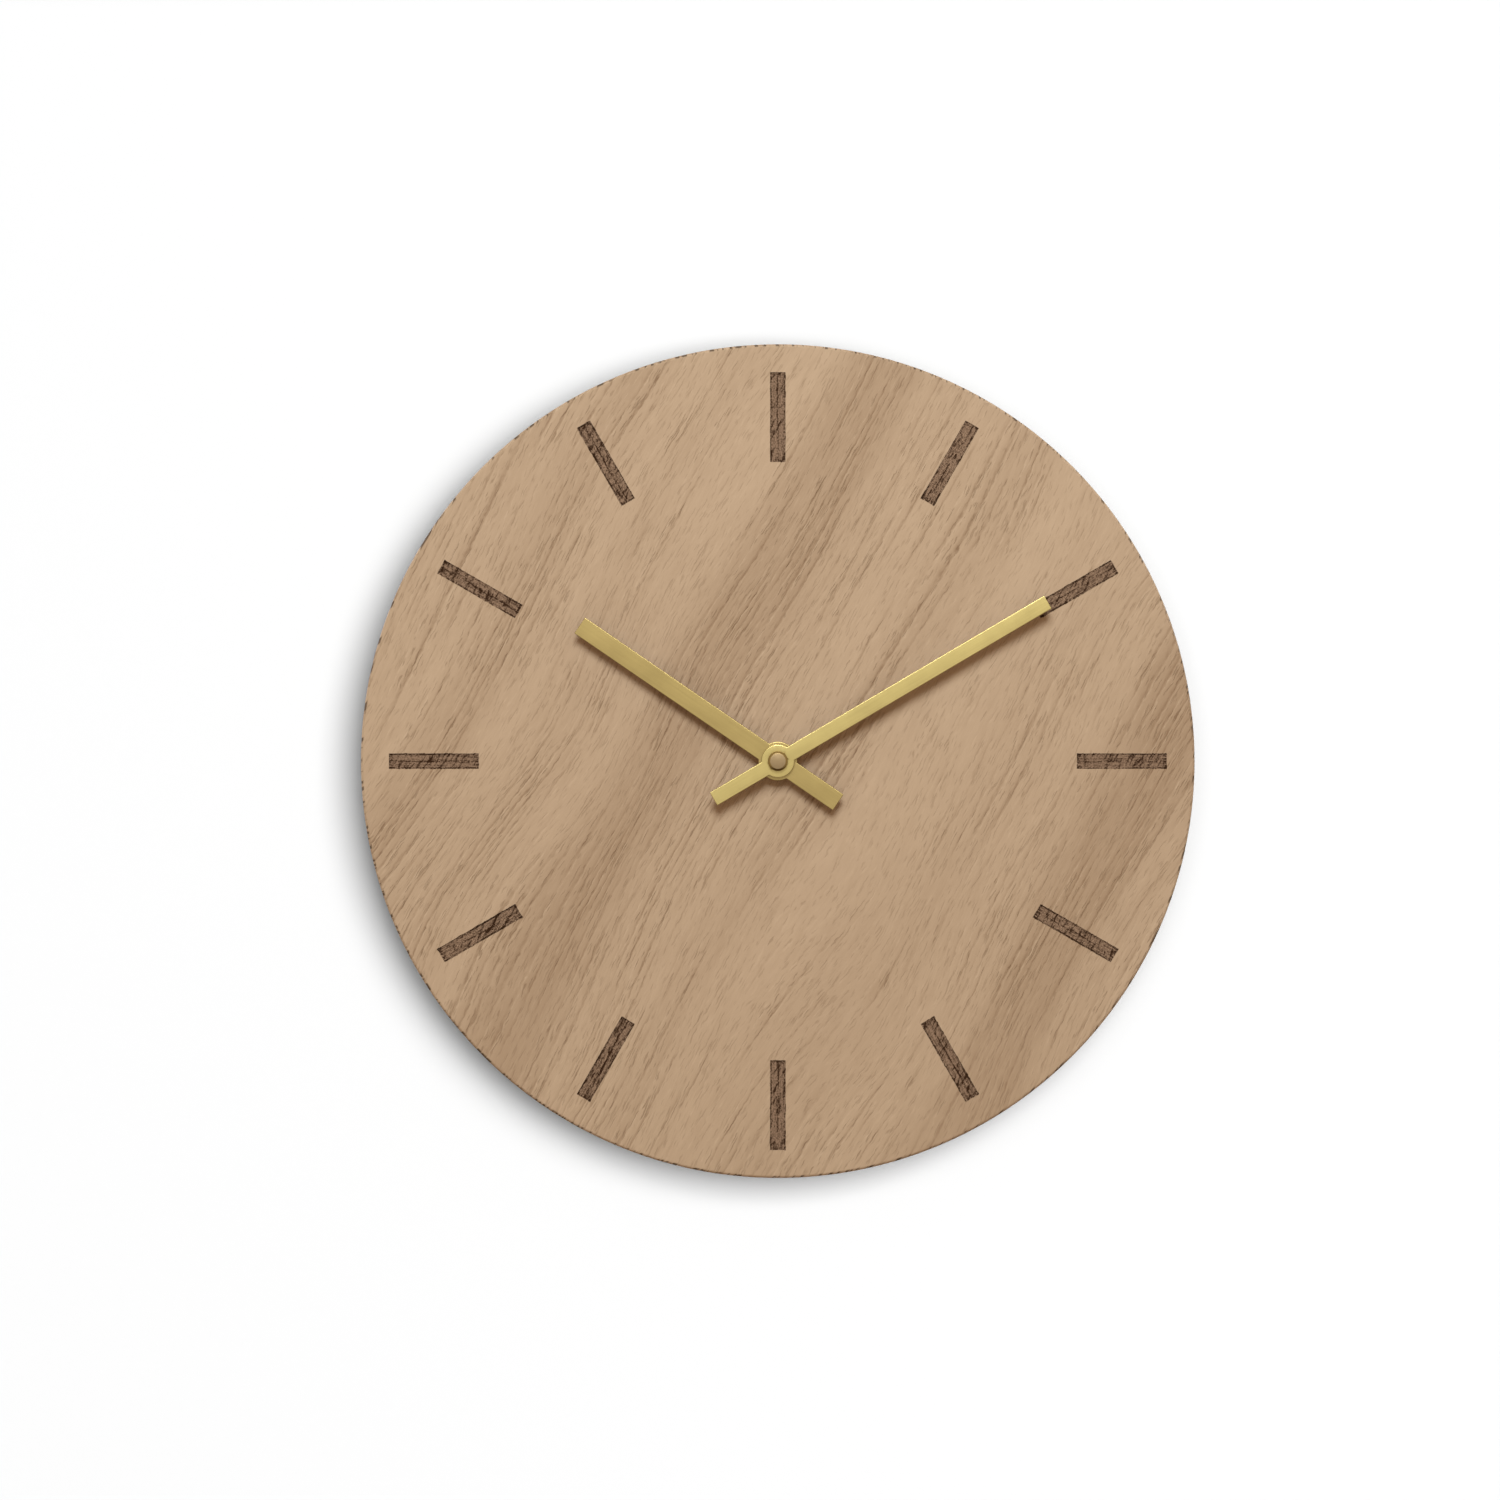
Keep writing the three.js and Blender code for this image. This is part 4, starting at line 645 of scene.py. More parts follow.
# %% [markdown]
# ## Oak disc
#
# The real disc is cut from a board, sanded to an eased edge, engraved on the front and routed on the
# back. The mesh follows the same steps: a short cylinder gets a bevelled rim, and solids are taken out
# of it for the movement's pocket, the centre hole, the hanger's seat and the marks. Each mark's cutter
# has a wavy floor, so that the furrows of the beam are real.

# %% Oak disc
DISC_STEPS = 256
SEAT = 0.1 * MM  # play of a fit, and how far a raised sign is sunk in
POCKET_GAP = 1 * MM
CASE_CORNER = 6 * MM
CENTRE_HOLE = 4.2 * MM  # radius
FURROW_DEPTH = 0.07 * MM
SCREW_HEAD_ROOM = 8 * MM  # deep, for the head of the wall screw
KEYHOLE_ENTRY = 9.5 * MM  # across
KEYHOLE_DROP = 9 * MM  # from the wall screw's place in use down to the entry
HEAD_GAP = 0.4 * MM  # between the keyhole's entry and the sides of the room behind it
PILOT_RADIUS = 1.85 * MM
OVERCUT = 1 * MM  # how far a cutter reaches past a surface
ROUND_END = 0.999  # share of a plate's half width, so that the arcs of an end stay apart
HANGER_SCREWS = ("hanger_screw_upper", "hanger_screw_lower")
plate_low, plate_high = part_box("hanger_plate")


def prism(sides, radius, front, back):
    """A bar with a regular outline, along the hands' axis."""
    bm = bmesh.new()
    size = {"radius1": radius, "radius2": radius, "depth": back - front}
    bmesh.ops.create_cone(bm, cap_ends=True, segments=sides, **size)
    rotate(bm, math.pi / 2, "X")
    move(bm, centre + DEEP * ((front + back) / 2))
    return bm


def slot_plate(half, bottom, top, back, front, segments=12):
    """A plate with round ends, on the middle line of the clock."""
    return plate(-half, half, bottom, top, back, front, half * ROUND_END, segments)


def screw_axis(node):
    """The point of the wall that a hanger screw's axis meets."""
    low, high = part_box(node)
    return Vector((0, 0, (low.z + high.z) / 2))


def mark_cutter(turn):
    """A bar that reaches into the face, with a wavy floor of furrows and ridges."""
    half = MARK_WIDTH / 2
    waves = 2 * MARK_LINES
    floor = [
        (-half + MARK_WIDTH * i / waves, dial_face + MARK_DEPTH - FURROW_DEPTH * (i % 2))
        for i in range(waves + 1)
    ]
    section = [(-half, dial_face - OVERCUT), *floor, (half, dial_face - OVERCUT)]
    bm = bmesh.new()
    start = centre.z + MARK_MIDDLE - MARK_LENGTH / 2
    bm.faces.new([bm.verts.new((x, y, start)) for x, y in section])
    thicken(bm, (0, 0, MARK_LENGTH))
    rotate(bm, turn, "Y", centre)
    return bm


def oak_disc():
    washer_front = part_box("rubber_washer")[0].y
    outside = dial_back + OVERCUT
    gap = Vector((POCKET_GAP, 0, POCKET_GAP))
    low = case_low - gap
    high = case_high + gap
    corner = CASE_CORNER + POCKET_GAP
    pocket = plate(low.x, high.x, low.z, high.z, outside, washer_front - SEAT, corner)
    seat_depth = plate_low.y - SEAT
    half = plate_high.x + SEAT
    seat = slot_plate(half, plate_low.z - SEAT, plate_high.z + SEAT, outside, seat_depth)
    room = KEYHOLE_ENTRY / 2 + HEAD_GAP
    head_room = slot_plate(room, -KEYHOLE_DROP - room, room, outside, seat_depth - SCREW_HEAD_ROOM)
    hole = drum(CENTRE_HOLE, dial_face - OVERCUT, dial_back)
    marks = [mark_cutter(math.tau * i / MARK_COUNT) for i in range(MARK_COUNT)]
    pilots = [
        drum(PILOT_RADIUS, dial_back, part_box(node)[0].y - SEAT, screw_axis(node), 24)
        for node in HANGER_SCREWS
    ]
    blank = ease(prism(DISC_STEPS, dial_radius, dial_face, dial_back), EDGE_ROUND, 5)
    return carve(blank, [pocket, hole, seat, head_room, *pilots, *marks])


piece(oak_disc(), "oak_disc", "oak", oak, "oak_dial")

# %% [markdown]
# ## Brass hands
#
# The hands are stamped from sheet brass: a straight blade with square ends, and a round hub. Two arcs
# of the hub are spun from the corners where the blade leaves it, the ends are closed with straight
# edges, and the outline is filled and thickened. A fine bevel catches the light along the upper edges,
# and mirrors the dim floor along the lower ones. The finish is satin, with faint lines along each hand.
# The hour hand's brass is a darker copy of the minute hand's, as painted shade for the darker
# surroundings that it mirrors.

# %% Brass hands
HAND_EDGE = 0.28 * MM
HUB_STEPS = 24
BORE_STEPS = 48
UPRIGHT = Matrix.Rotation(math.pi / 2, 4, "X")  # turns a circle into the plane of the dial
DARKER = 0.86  # shares of its own colour between which brushed brass varies
LIGHTER = 1.12
MINUTE_ANGLE = math.radians(59.5)  # clockwise from twelve
HOUR_ANGLE = math.radians(304.4)
# Each hand: its length, tail and width, and the radii of its hub and its bore.
MINUTE_SIZE = (105 * MM, 25 * MM, 5 * MM, 5.5 * MM, 2.45 * MM)
HOUR_SIZE = (80.5 * MM, 24.5 * MM, 6.4 * MM, 6.5 * MM, 3.25 * MM)


def scaled(colour, share):
    """A colour made darker or lighter."""
    return (*(min(1.0, channel * share) for channel in colour[:3]), 1.0)


def brass_finish(name, colour, roughness, angle):
    """Satin brass, brushed along a direction given clockwise from twelve."""
    material, (x, y, z) = new_finish(name)
    rise = z - centre.z
    along = x * math.sin(angle) + rise * math.cos(angle)
    across = x * math.cos(angle) - rise * math.sin(angle)
    brushed = drawn_noise(along, across, y, 22 * MM, 0.22 * MM)
    cloud = even_noise(x, y, z, 9 * MM)
    shade = (brushed - 0.5) * 0.5 + (cloud - 0.5) * 0.6 + 0.5
    colour = shade.blend(scaled(colour, DARKER), scaled(colour, LIGHTER))
    roughness = roughness + (brushed - 0.5) * 0.16 + (cloud - 0.5) * 0.1
    return finished(material, colour, roughness, brushed.bump(0.006 * MM), 1.0)


def hand_outline(length, tail, width, hub, bore):
    """The outline of a hand that points at twelve, drawn round the origin in the dial's plane."""
    bm = bmesh.new()
    half = width / 2
    rise = math.sqrt(hub**2 - half**2)
    sweep = 2 * math.acos(half / hub)
    ends = {}
    for side in (1, -1):
        start = bm.verts.new((side * half, 0, side * rise))
        ends[side] = (start, spin(bm, [start], sweep, HUB_STEPS, axis=DEEP)[0])
    for side, end in ((1, length), (-1, -tail)):
        corners = [bm.verts.new((x, 0, end)) for x in (side * half, -side * half)]
        join(bm, [ends[side][0], *corners, ends[-side][1]])
    bmesh.ops.create_circle(bm, segments=BORE_STEPS, radius=bore, matrix=UPRIGHT)
    bmesh.ops.triangle_fill(bm, edges=bm.edges[:], use_beauty=True, use_dissolve=False)
    return bm


def brass_hand(node, angle, size):
    low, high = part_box(node)
    bm = thicken(hand_outline(*size), (0, high.y - low.y, 0))
    ease(bm, HAND_EDGE)
    rotate(bm, angle, "Y")
    move(bm, centre + DEEP * low.y)
    return bm


for hand, colour, roughness, angle, size in (
    ("minute", srgb(182, 160, 100), 0.34, MINUTE_ANGLE, MINUTE_SIZE),
    # a darker copy of the same brass: painted shade for what the hour hand mirrors
    ("hour", srgb(160, 136, 84), 0.36, HOUR_ANGLE, HOUR_SIZE),
):
    node = hand + "_hand"
    finish = brass_finish(node + "_brass", colour, roughness, angle)
    piece(brass_hand(node, angle, size), node + "_blade", "brass", finish, node, body=hand + "_body")

# %% [markdown]
# ## Centre stack
#
# Under the hands lie a washer, a hexagon nut and the end of the threaded bushing, and each hand is
# riveted to a bush. The nut is cut from a prism, the bushing is the next step, and the others are spun
# profiles. The small cap nut in front is painted a browner brass, as a painted reflection of the wood
# around it. Its bevel is painted darker and yellower, as painted shade, and it mirrors the white room
# above and the dim floor below.

# %% Centre stack
PIPE = 1.65 * MM  # radius of the minute pipe, on which the cap nut is screwed
HOUR_PIPE = 2.45 * MM
BUSH_WALL = 0.6 * MM
BUSH_COLLAR = 0.5 * MM
CAP_FACE = 2.6 * MM  # radius of the cap nut's flat face
CAP_SLOPE = 0.6 * MM  # depth of its bevel
CAP_ROOF = 0.7 * MM  # in front of its bore
CAP_BLEND = 0.05 * MM  # to each side of the edge where the bevel's colour begins
CAP_EDGE = 0.08 * MM
BUSH_EDGE = 0.05 * MM
WASHER_EDGE = 0.06 * MM
NUT_EDGE = 0.2 * MM
BUSHING_RADIUS = 4 * MM


def hollow(*profile):
    """A turned part with a bore, from the corners of its section."""
    return turned([*profile, profile[0]])


def hand_bush(node, pipe):
    low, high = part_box(node)
    bore = pipe + SEAT
    spigot = bore + BUSH_WALL
    shoulder = high.y - BUSH_COLLAR
    outside = ((spigot, low.y), (spigot, shoulder), (high.x, shoulder), (high.x, high.y))
    return hollow((bore, low.y), *outside, (bore, high.y))


def cap_nut():
    radius = nut_high.x
    bore = PIPE + SEAT
    roof = nut_low.y + CAP_ROOF
    front = [(0, nut_low.y), (CAP_FACE, nut_low.y), (radius, nut_low.y + CAP_SLOPE)]
    return turned([*front, (radius, nut_high.y), (bore, nut_high.y), (bore, roof), (0, roof)])


def cap_nut_finish():
    """Brass painted brown as a reflection of wood, with fine turning lines, and a yellower bevel of
    painted shade.
    """
    material, (x, y, z) = new_finish("cap_nut_painted_reflection")
    radius = x.reach(z - centre.z)
    turning = x.noise(radius / (0.12 * MM), y / (0.12 * MM), 0.0)
    cloud = even_noise(x, y, z, 1.5 * MM)
    # painted reflection: the face's brown stands for the wood that the nut mirrors
    face = (turning * 0.4 + cloud * 0.6).blend(srgb(130, 107, 74), srgb(152, 126, 92))
    slope = radius.rise(CAP_FACE - CAP_BLEND, CAP_FACE + CAP_BLEND)
    # painted shade: the bevel is darker and yellower than the face
    colour = slope.blend(face, srgb(140, 112, 64))
    roughness = 0.42 + (turning - 0.5) * 0.1
    return finished(material, colour, roughness, turning.bump(0.004 * MM), 1.0)


def hexagon_nut():
    low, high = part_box("fixing_nut")
    half_side = math.pi / 6
    bm = prism(6, high.x / math.cos(half_side), low.y, high.y)
    rotate(bm, half_side, "Y", centre)
    bore = drum(BUSHING_RADIUS + SEAT, low.y - OVERCUT, high.y + OVERCUT)
    return ease(carve(bm, [bore]), NUT_EDGE)


cap_brass_painted_reflection = cap_nut_finish()
plain_brass = brass_finish("turned_brass", srgb(196, 168, 106), 0.38, 0.0)
piece(ease(cap_nut(), CAP_EDGE), "cap_nut_turned", "brass", cap_brass_painted_reflection, "cap_nut", body="minute_body")
for hand, pipe in (("minute", PIPE), ("hour", HOUR_PIPE)):
    node = hand + "_hand_bush"
    bush = ease(hand_bush(node, pipe), BUSH_EDGE)
    piece(bush, node + "_turned", "brass", plain_brass, node, body=hand + "_body")
low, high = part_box("dial_washer")
bore = BUSHING_RADIUS + 2 * SEAT
washer = hollow((bore, low.y), (high.x, low.y), (high.x, high.y), (bore, high.y))
piece(ease(washer, WASHER_EDGE), "dial_washer_turned", "brass", plain_brass, "dial_washer")
piece(hexagon_nut(), "fixing_nut_hexagon", "brass", plain_brass, "fixing_nut")

# %% [markdown]
# ## Threaded bushing
#
# A threaded bushing stands on the movement, and its nut clamps the movement to the oak. A stack of rings
# would look like a thread, but would not be one. Here one tooth's profile is spun while it moves along
# the axis, so the turns join into a true screw. Two planes cut it square, and the Boolean modifiers give
# it its lead-in, its flange and its bore.

# %% Threaded bushing
BUSHING_PITCH = 0.75 * MM
BUSHING_ROOT = BUSHING_RADIUS - 0.4 * MM
BUSHING_BORE = 2.65 * MM  # radius
BUSHING_FLANGE = 0.8 * MM


def thread(root, crest, pitch, low, high, middle=centre, steps=32):
    """A bar with a screw thread between two heights along the hands' axis."""
    bm = bmesh.new()
    turns = math.ceil((high - low) / pitch) + 2  # with some to spare at both ends
    profile = ((root, 0.0), (crest, pitch / 2), (root, pitch))
    start = low - 1.5 * pitch
    points = [bm.verts.new(middle + Vector((radius, start + height, 0))) for radius, height in profile]
    advance = DEEP * (pitch / steps)
    spin(bm, points, math.tau * turns, steps * turns, cent=middle, axis=DEEP, dvec=advance)
    clean(bm)
    for height, side in ((low, -1), (high, 1)):
        plane = {"plane_co": middle + DEEP * height, "plane_no": DEEP * side}
        parts = [*bm.verts, *bm.edges, *bm.faces]
        bmesh.ops.bisect_plane(bm, geom=parts, clear_outer=True, **plane)
    bmesh.ops.holes_fill(bm, edges=[edge for edge in bm.edges if edge.is_boundary])
    clean(bm)
    return bm


def threaded_bushing():
    low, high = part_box("threaded_bushing")
    lead = BUSHING_RADIUS - BUSHING_ROOT
    end = [(0, low.y), (BUSHING_ROOT, low.y), (BUSHING_RADIUS, low.y + lead)]
    envelope = [*end, (BUSHING_RADIUS, high.y), (0, high.y)]
    bar = thread(BUSHING_ROOT, BUSHING_RADIUS, BUSHING_PITCH, low.y, high.y)
    bar = carve(bar, [turned(envelope)], "INTERSECT")
    bar = carve(bar, [drum(high.x, high.y, high.y - BUSHING_FLANGE)], "UNION")
    return carve(bar, [drum(BUSHING_BORE, low.y - OVERCUT, high.y + OVERCUT)])


piece(threaded_bushing(), "threaded_bushing_cut", "brass", plain_brass, "threaded_bushing")

# %% [markdown]
# ## Plain finishes
#
# Most hidden pieces are of one material each, and none of them is one flat colour in reality. A soft
# cloud and a fine grain, each at its own scale, vary the colour and the gloss, and the grain also bends
# the normal. One function makes them all from a table.

# %% Plain finishes
CLOUD_SIZE = 16  # times the size of the grain


def grained_finish(name, dark, light, size, roughness, metallic, depth):
    """A finish with soft clouds and a fine grain of a given size."""
    material, (x, y, z) = new_finish(name)
    cloud = even_noise(x, y, z, CLOUD_SIZE * size)
    grain = even_noise(x, y, z, size, 3.0, 0.6)
    shade = (cloud - 0.5) * 0.9 + (grain - 0.5) * 0.9 + 0.5
    roughness = roughness + (grain - 0.5) * 0.16 + (cloud - 0.5) * 0.12
    return finished(material, shade.blend(dark, light), roughness, grain.bump(depth), metallic)


# Each row: slot, name, dark and light colour, size of the grain in millimetres, roughness, metallic,
# and depth of the grain in millimetres.
rows = (
    ("black_plastic", "moulded_black_plastic", (24, 24, 25), (44, 44, 45), 0.16, 0.52, 0.0, 0.02),
    ("white_plastic", "white_acetal", (214, 211, 202), (238, 236, 229), 0.3, 0.40, 0.0, 0.003),
    ("steel", "bright_steel", (120, 120, 121), (168, 168, 170), 0.2, 0.30, 1.0, 0.002),
    ("zinc_steel", "zinc_plated_steel", (132, 137, 143), (184, 187, 189), 0.35, 0.36, 1.0, 0.004),
    ("soft_iron", "annealed_iron", (98, 96, 92), (136, 133, 128), 0.25, 0.48, 1.0, 0.004),
    ("magnet", "sintered_magnet", (50, 50, 52), (76, 76, 78), 0.18, 0.55, 0.0, 0.008),
    ("rubber", "black_rubber", (30, 30, 31), (48, 48, 48), 0.2, 0.86, 0.0, 0.02),
    ("black_epoxy", "black_epoxy", (16, 16, 17), (30, 30, 31), 0.6, 0.22, 0.0, 0.01),
)
finishes = {}
for slot, name, dark, light, size, roughness, metallic, depth in rows:
    colours = (srgb(*dark), srgb(*light))
    finishes[slot] = grained_finish(name, *colours, size * MM, roughness, metallic, depth * MM)
print(len(finishes), "plain finishes")

# %% [markdown]
# ## Movement case and rear cover
#
# The case is a moulded tray, and the cover snaps into it. The CAD pieces already have every wall, post
# and clip, so their meshes are copied: the loose triangles are merged, flat neighbours are joined again,
# and the rims that a hand meets get the small radius of a mould. Raised signs come from the same mould:
# an arrow that says which way the knob sets the time, and the two poles of the battery.

# %% Movement case and rear cover
FLAT = math.radians(1)
MOULD_RADIUS = 0.3 * MM
SIGN_HEIGHT = 0.25 * MM
SIGN_STROKE = 0.7 * MM
SIGN_SPAN = 3.2 * MM
SIGN_INSET = 4.5 * MM  # from the cover's side and lower edges to a sign's middle
SIGN_EDGE = 0.08 * MM
ARROW_RADIUS = 8.6 * MM
ARROW_POINT = 3.2 * SIGN_STROKE
ARROW_STEPS = 24
ARROW_SWEEP = math.radians(80)
ARROW_START = math.radians(-130)  # clockwise from twelve, seen from the front
knob_low, knob_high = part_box("setting_knob")
knob_axis = Vector(((knob_low.x + knob_high.x) / 2, 0, (knob_low.z + knob_high.z) / 2))


def moulded(node):
    """A CAD copy with merged triangles and whole flat faces, rounded in the plane of its back."""
    bm = bmesh.new()
    bm.from_mesh(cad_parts[node].data)
    clean(bm)
    bmesh.ops.dissolve_limit(bm, angle_limit=FLAT, verts=bm.verts[:], edges=bm.edges[:])
    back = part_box(node)[1].y
    return ease(bm, MOULD_RADIUS, 2, lambda edge: all(abs(v.co.y - back) < WELD for v in edge.verts))


def pole_sign(x, positive):
    """A raised minus, or a raised plus, on the cover's lower corner."""
    z = cover_low.z + SIGN_INSET

    def bar(wide, tall):
        base = cover_high.y - SEAT
        top = cover_high.y + SIGN_HEIGHT
        return plate(x - wide / 2, x + wide / 2, z - tall / 2, z + tall / 2, base, top)

    sign = bar(SIGN_SPAN, SIGN_STROKE)
    if positive:
        sign = carve(sign, [bar(SIGN_STROKE, SIGN_SPAN)], "UNION")
    return ease(sign, SIGN_EDGE)


def setting_arrow():
    """A raised arrow that bends round the knob: a spun edge, closed with a pointed head."""
    bm = bmesh.new()
    inner = ARROW_RADIUS - SIGN_STROKE / 2
    outer = ARROW_RADIUS + SIGN_STROKE / 2
    base = cover_high.y - SEAT
    pair = [bm.verts.new((0, base, radius)) for radius in (inner, outer)]
    last = spin(bm, pair, ARROW_SWEEP, ARROW_STEPS, axis=DEEP)
    ends = sorted((v for v in last if isinstance(v, bmesh.types.BMVert)), key=lambda v: v.co.length)
    out = (ends[1].co - ends[0].co).normalized()
    ahead = DEEP.cross(out)
    inside = bm.verts.new(ends[0].co - out * SIGN_STROKE)
    outside = bm.verts.new(ends[1].co + out * SIGN_STROKE)
    tip = bm.verts.new((ends[0].co + ends[1].co) / 2 + ahead * ARROW_POINT)
    bm.faces.new((inside, ends[0], ends[1], outside, tip))
    thicken(bm, (0, SIGN_HEIGHT + SEAT, 0))
    rotate(bm, ARROW_START, "Y")
    move(bm, knob_axis)
    return ease(bm, SIGN_EDGE)


black = finishes["black_plastic"]
for name, node in (("case_moulding", "movement_case"), ("cover_moulding", "rear_cover")):
    piece(moulded(node), name, "black_plastic", black, node)
piece(setting_arrow(), "setting_arrow", "black_plastic", black)
piece(pole_sign(cover_high.x - SIGN_INSET, True), "plus_sign", "black_plastic", black)
piece(pole_sign(cover_low.x + SIGN_INSET, False), "minus_sign", "black_plastic", black)

# %% [markdown]
# ## Setting knob
#
# The knob is a small ribbed wheel with a dished face. It starts as a flat circle. In every group of four
# points two are drawn in, which gives blunt ribs, and the sheet is thickened. The dish and the hole for
# the stem are turned cutters.

# %% Setting knob
KNOB_RIBS = 18
KNOB_RIB_DEPTH = 0.35 * MM
KNOB_RIM = 1.5 * MM
KNOB_DISH = 0.35 * MM
STEM_HOLE = 1.6 * MM  # radius
KNOB_FACE = 0.7 * MM  # from the end of the stem's hole to the back
KNOB_EDGE = 0.1 * MM


def setting_knob():
    radius = knob_high.x - knob_axis.x
    bm = bmesh.new()
    bmesh.ops.create_circle(bm, cap_ends=True, segments=4 * KNOB_RIBS, radius=radius, matrix=UPRIGHT)
    drawn = [vert for i, vert in enumerate(bm.verts) if i % 4 > 1]
    share = 1 - KNOB_RIB_DEPTH / radius
    bmesh.ops.scale(bm, verts=drawn, vec=(share, 1, share))
    move(bm, knob_axis + DEEP * knob_low.y)
    thicken(bm, (0, knob_high.y - knob_low.y, 0))
    back = knob_high.y
    edge = radius - KNOB_RIM
    floor = back - KNOB_DISH
    top = back + OVERCUT
    dish = [(0, top), (edge, top), (edge, back), (edge - KNOB_DISH, floor), (0, floor)]
    hole = drum(STEM_HOLE, knob_low.y - OVERCUT, back - KNOB_FACE, knob_axis, 32)
    return ease(carve(bm, [turned(dish, knob_axis), hole]), KNOB_EDGE)


piece(setting_knob(), "setting_knob_ribbed", "black_plastic", black, "setting_knob", body="setting_body")

# %% [markdown]
# ## Battery
#
# An AA cell is a steel can in a printed sleeve that is shrunk over both of its shoulders. One profile,
# spun round the cell's axis, makes the can, the groove round the nub and the shallow step of the flat
# end. The finish splits sleeve and bare steel by the distance from the axis.

# %% Battery
cell_low, cell_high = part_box("battery")
cell_axis = Vector((0, (cell_low.y + cell_high.y) / 2, (cell_low.z + cell_high.z) / 2))
CELL_SHOULDER = 0.6 * MM
NUB_LENGTH = 1.2 * MM
NUB_RADIUS = 2.7 * MM
SLEEVE_EDGE = 5.8 * MM  # radius down to which the sleeve is shrunk over each end
STEP_RADIUS = 4.6 * MM  # of the flat end's step
STEP_SLOPE = 0.3 * MM
STEP_DEPTH = 0.2 * MM
GROOVE_OUTER = SLEEVE_EDGE - 0.3 * MM
GROOVE_INNER = NUB_RADIUS + 0.6 * MM
GROOVE_SLOPE = 0.2 * MM
GROOVE_DEPTH = 0.4 * MM
CELL_EDGE = 0.25 * MM
BAND_MIDDLE = 13 * MM
BAND_HALF = 1 * MM
POLES = ((18 * MM, True), (-20 * MM, False))  # place of each sign, and whether it is the plus
POLE_HALF = 1.5 * MM
STROKE_HALF = 0.375 * MM
STROKE_FADE = 0.075 * MM
PRINT_FADE = 0.1 * MM


def cell_can():
    radius = cell_high.z - cell_axis.z
    left = cell_low.x
    right = cell_high.x
    shoulder = right - NUB_LENGTH
    inner = radius - CELL_SHOULDER
    step = left + STEP_DEPTH
    floor = shoulder - GROOVE_DEPTH
    profile = [(0, step), (STEP_RADIUS, step), (STEP_RADIUS + STEP_SLOPE, left), (inner, left)]
    profile += [(radius, left + CELL_SHOULDER), (radius, shoulder - CELL_SHOULDER), (inner, shoulder)]
    profile += [(GROOVE_OUTER, shoulder), (GROOVE_OUTER - GROOVE_SLOPE, floor), (GROOVE_INNER, floor)]
    profile += [(NUB_RADIUS, shoulder), (NUB_RADIUS, right), (0, right)]
    return ease(turned(profile, cell_axis, Vector((1, 0, 0))), CELL_EDGE, 3)


def cell_finish():
    """A dull blue sleeve with a pale band and pole signs, and bare steel at both ends."""
    material, (x, y, z) = new_finish("battery_sleeve")
    depth = y - cell_axis.y
    rise = z - cell_axis.z
    radius = depth.reach(rise)
    sleeve = radius.rise(SLEEVE_EDGE - PRINT_FADE, SLEEVE_EDGE + PRINT_FADE)
    cloud = even_noise(x, y, z, 6 * MM, 3.0)
    grain = even_noise(x, y, z, 0.3 * MM)
    band = (x - BAND_MIDDLE).within(BAND_HALF, PRINT_FADE)
    back = depth.rise(0.0, 1 * MM)

    def stroke(lengthwise, crosswise):
        return lengthwise.within(POLE_HALF, PRINT_FADE) * crosswise.within(STROKE_HALF, STROKE_FADE)

    sign = 0.0
    for place, positive in POLES:
        mark = stroke(x - place, rise)
        if positive:
            mark = mark.calc("MAXIMUM", stroke(rise, x - place))
        sign = sign + mark * back
    blue = cloud.blend(srgb(48, 66, 84), srgb(62, 82, 101))
    printed = (band + sign).blend(blue, srgb(206, 208, 204))
    steel = (cloud * 0.6 + grain * 0.4).blend(srgb(128, 128, 128), srgb(176, 175, 172))
    roughness = 0.30 + (cloud - 0.5) * 0.12 + (grain - 0.5) * 0.08
    normal = (grain * 0.3 + cloud).bump(0.02 * MM)
    return finished(material, sleeve.blend(steel, printed), roughness, normal, 1 - sleeve)


piece(cell_can(), "battery_cell", "battery_wrap", cell_finish(), "battery", body="battery_body")

# %% [markdown]
# ## Hanger plate and screws
#
# The clock hangs by a stamped keyhole plate that is let into the back. Two countersunk wood screws with
# a cross recess hold it. The plate is a flat sheet with round ends, from which the keyhole and the
# countersinks are cut. A screw is a thread, made as before, in a pointed envelope, joined to a turned
# head.

# %% Hanger plate and screws
KEYHOLE_SLOT = 5 * MM  # across
SCREW_HEAD = 3.3 * MM
SCREW_SHANK = 1.75 * MM
SCREW_ROOT = 1.25 * MM
SCREW_PITCH = 1.4 * MM
RECESS_REACH = 1.8 * MM
RECESS_WIDTH = 0.75 * MM
RECESS_DEPTH = 1.1 * MM
RECESS_TAPER = (0.4, 1, 0.6)
PLATE_EDGE = 0.12 * MM
SCREW_TURNS = (0.3, 1.1)  # radians at which the cross recesses happened to stop


def countersink(node):
    top = plate_high.y
    wide = SCREW_HEAD + 2 * SEAT
    narrow = SCREW_SHANK + SEAT
    below = plate_low.y - OVERCUT
    head = [(0, top + OVERCUT), (wide, top + OVERCUT), (wide, top), (narrow, top - (wide - narrow))]
    return turned([*head, (narrow, below), (0, below)], screw_axis(node), steps=48)


def hanger_plate():
    back = plate_high.y + OVERCUT
    front = plate_low.y - OVERCUT
    sheet = slot_plate(plate_high.x, plate_low.z, plate_high.z, plate_high.y, plate_low.y, 24)
    half = KEYHOLE_SLOT / 2
    slot = slot_plate(half, -KEYHOLE_DROP, half, back, front)
    entry = drum(KEYHOLE_ENTRY / 2, back, front, Vector((0, 0, -KEYHOLE_DROP)))
    sinks = [countersink(node) for node in HANGER_SCREWS]
    return ease(carve(sheet, [slot, entry, *sinks]), PLATE_EDGE)


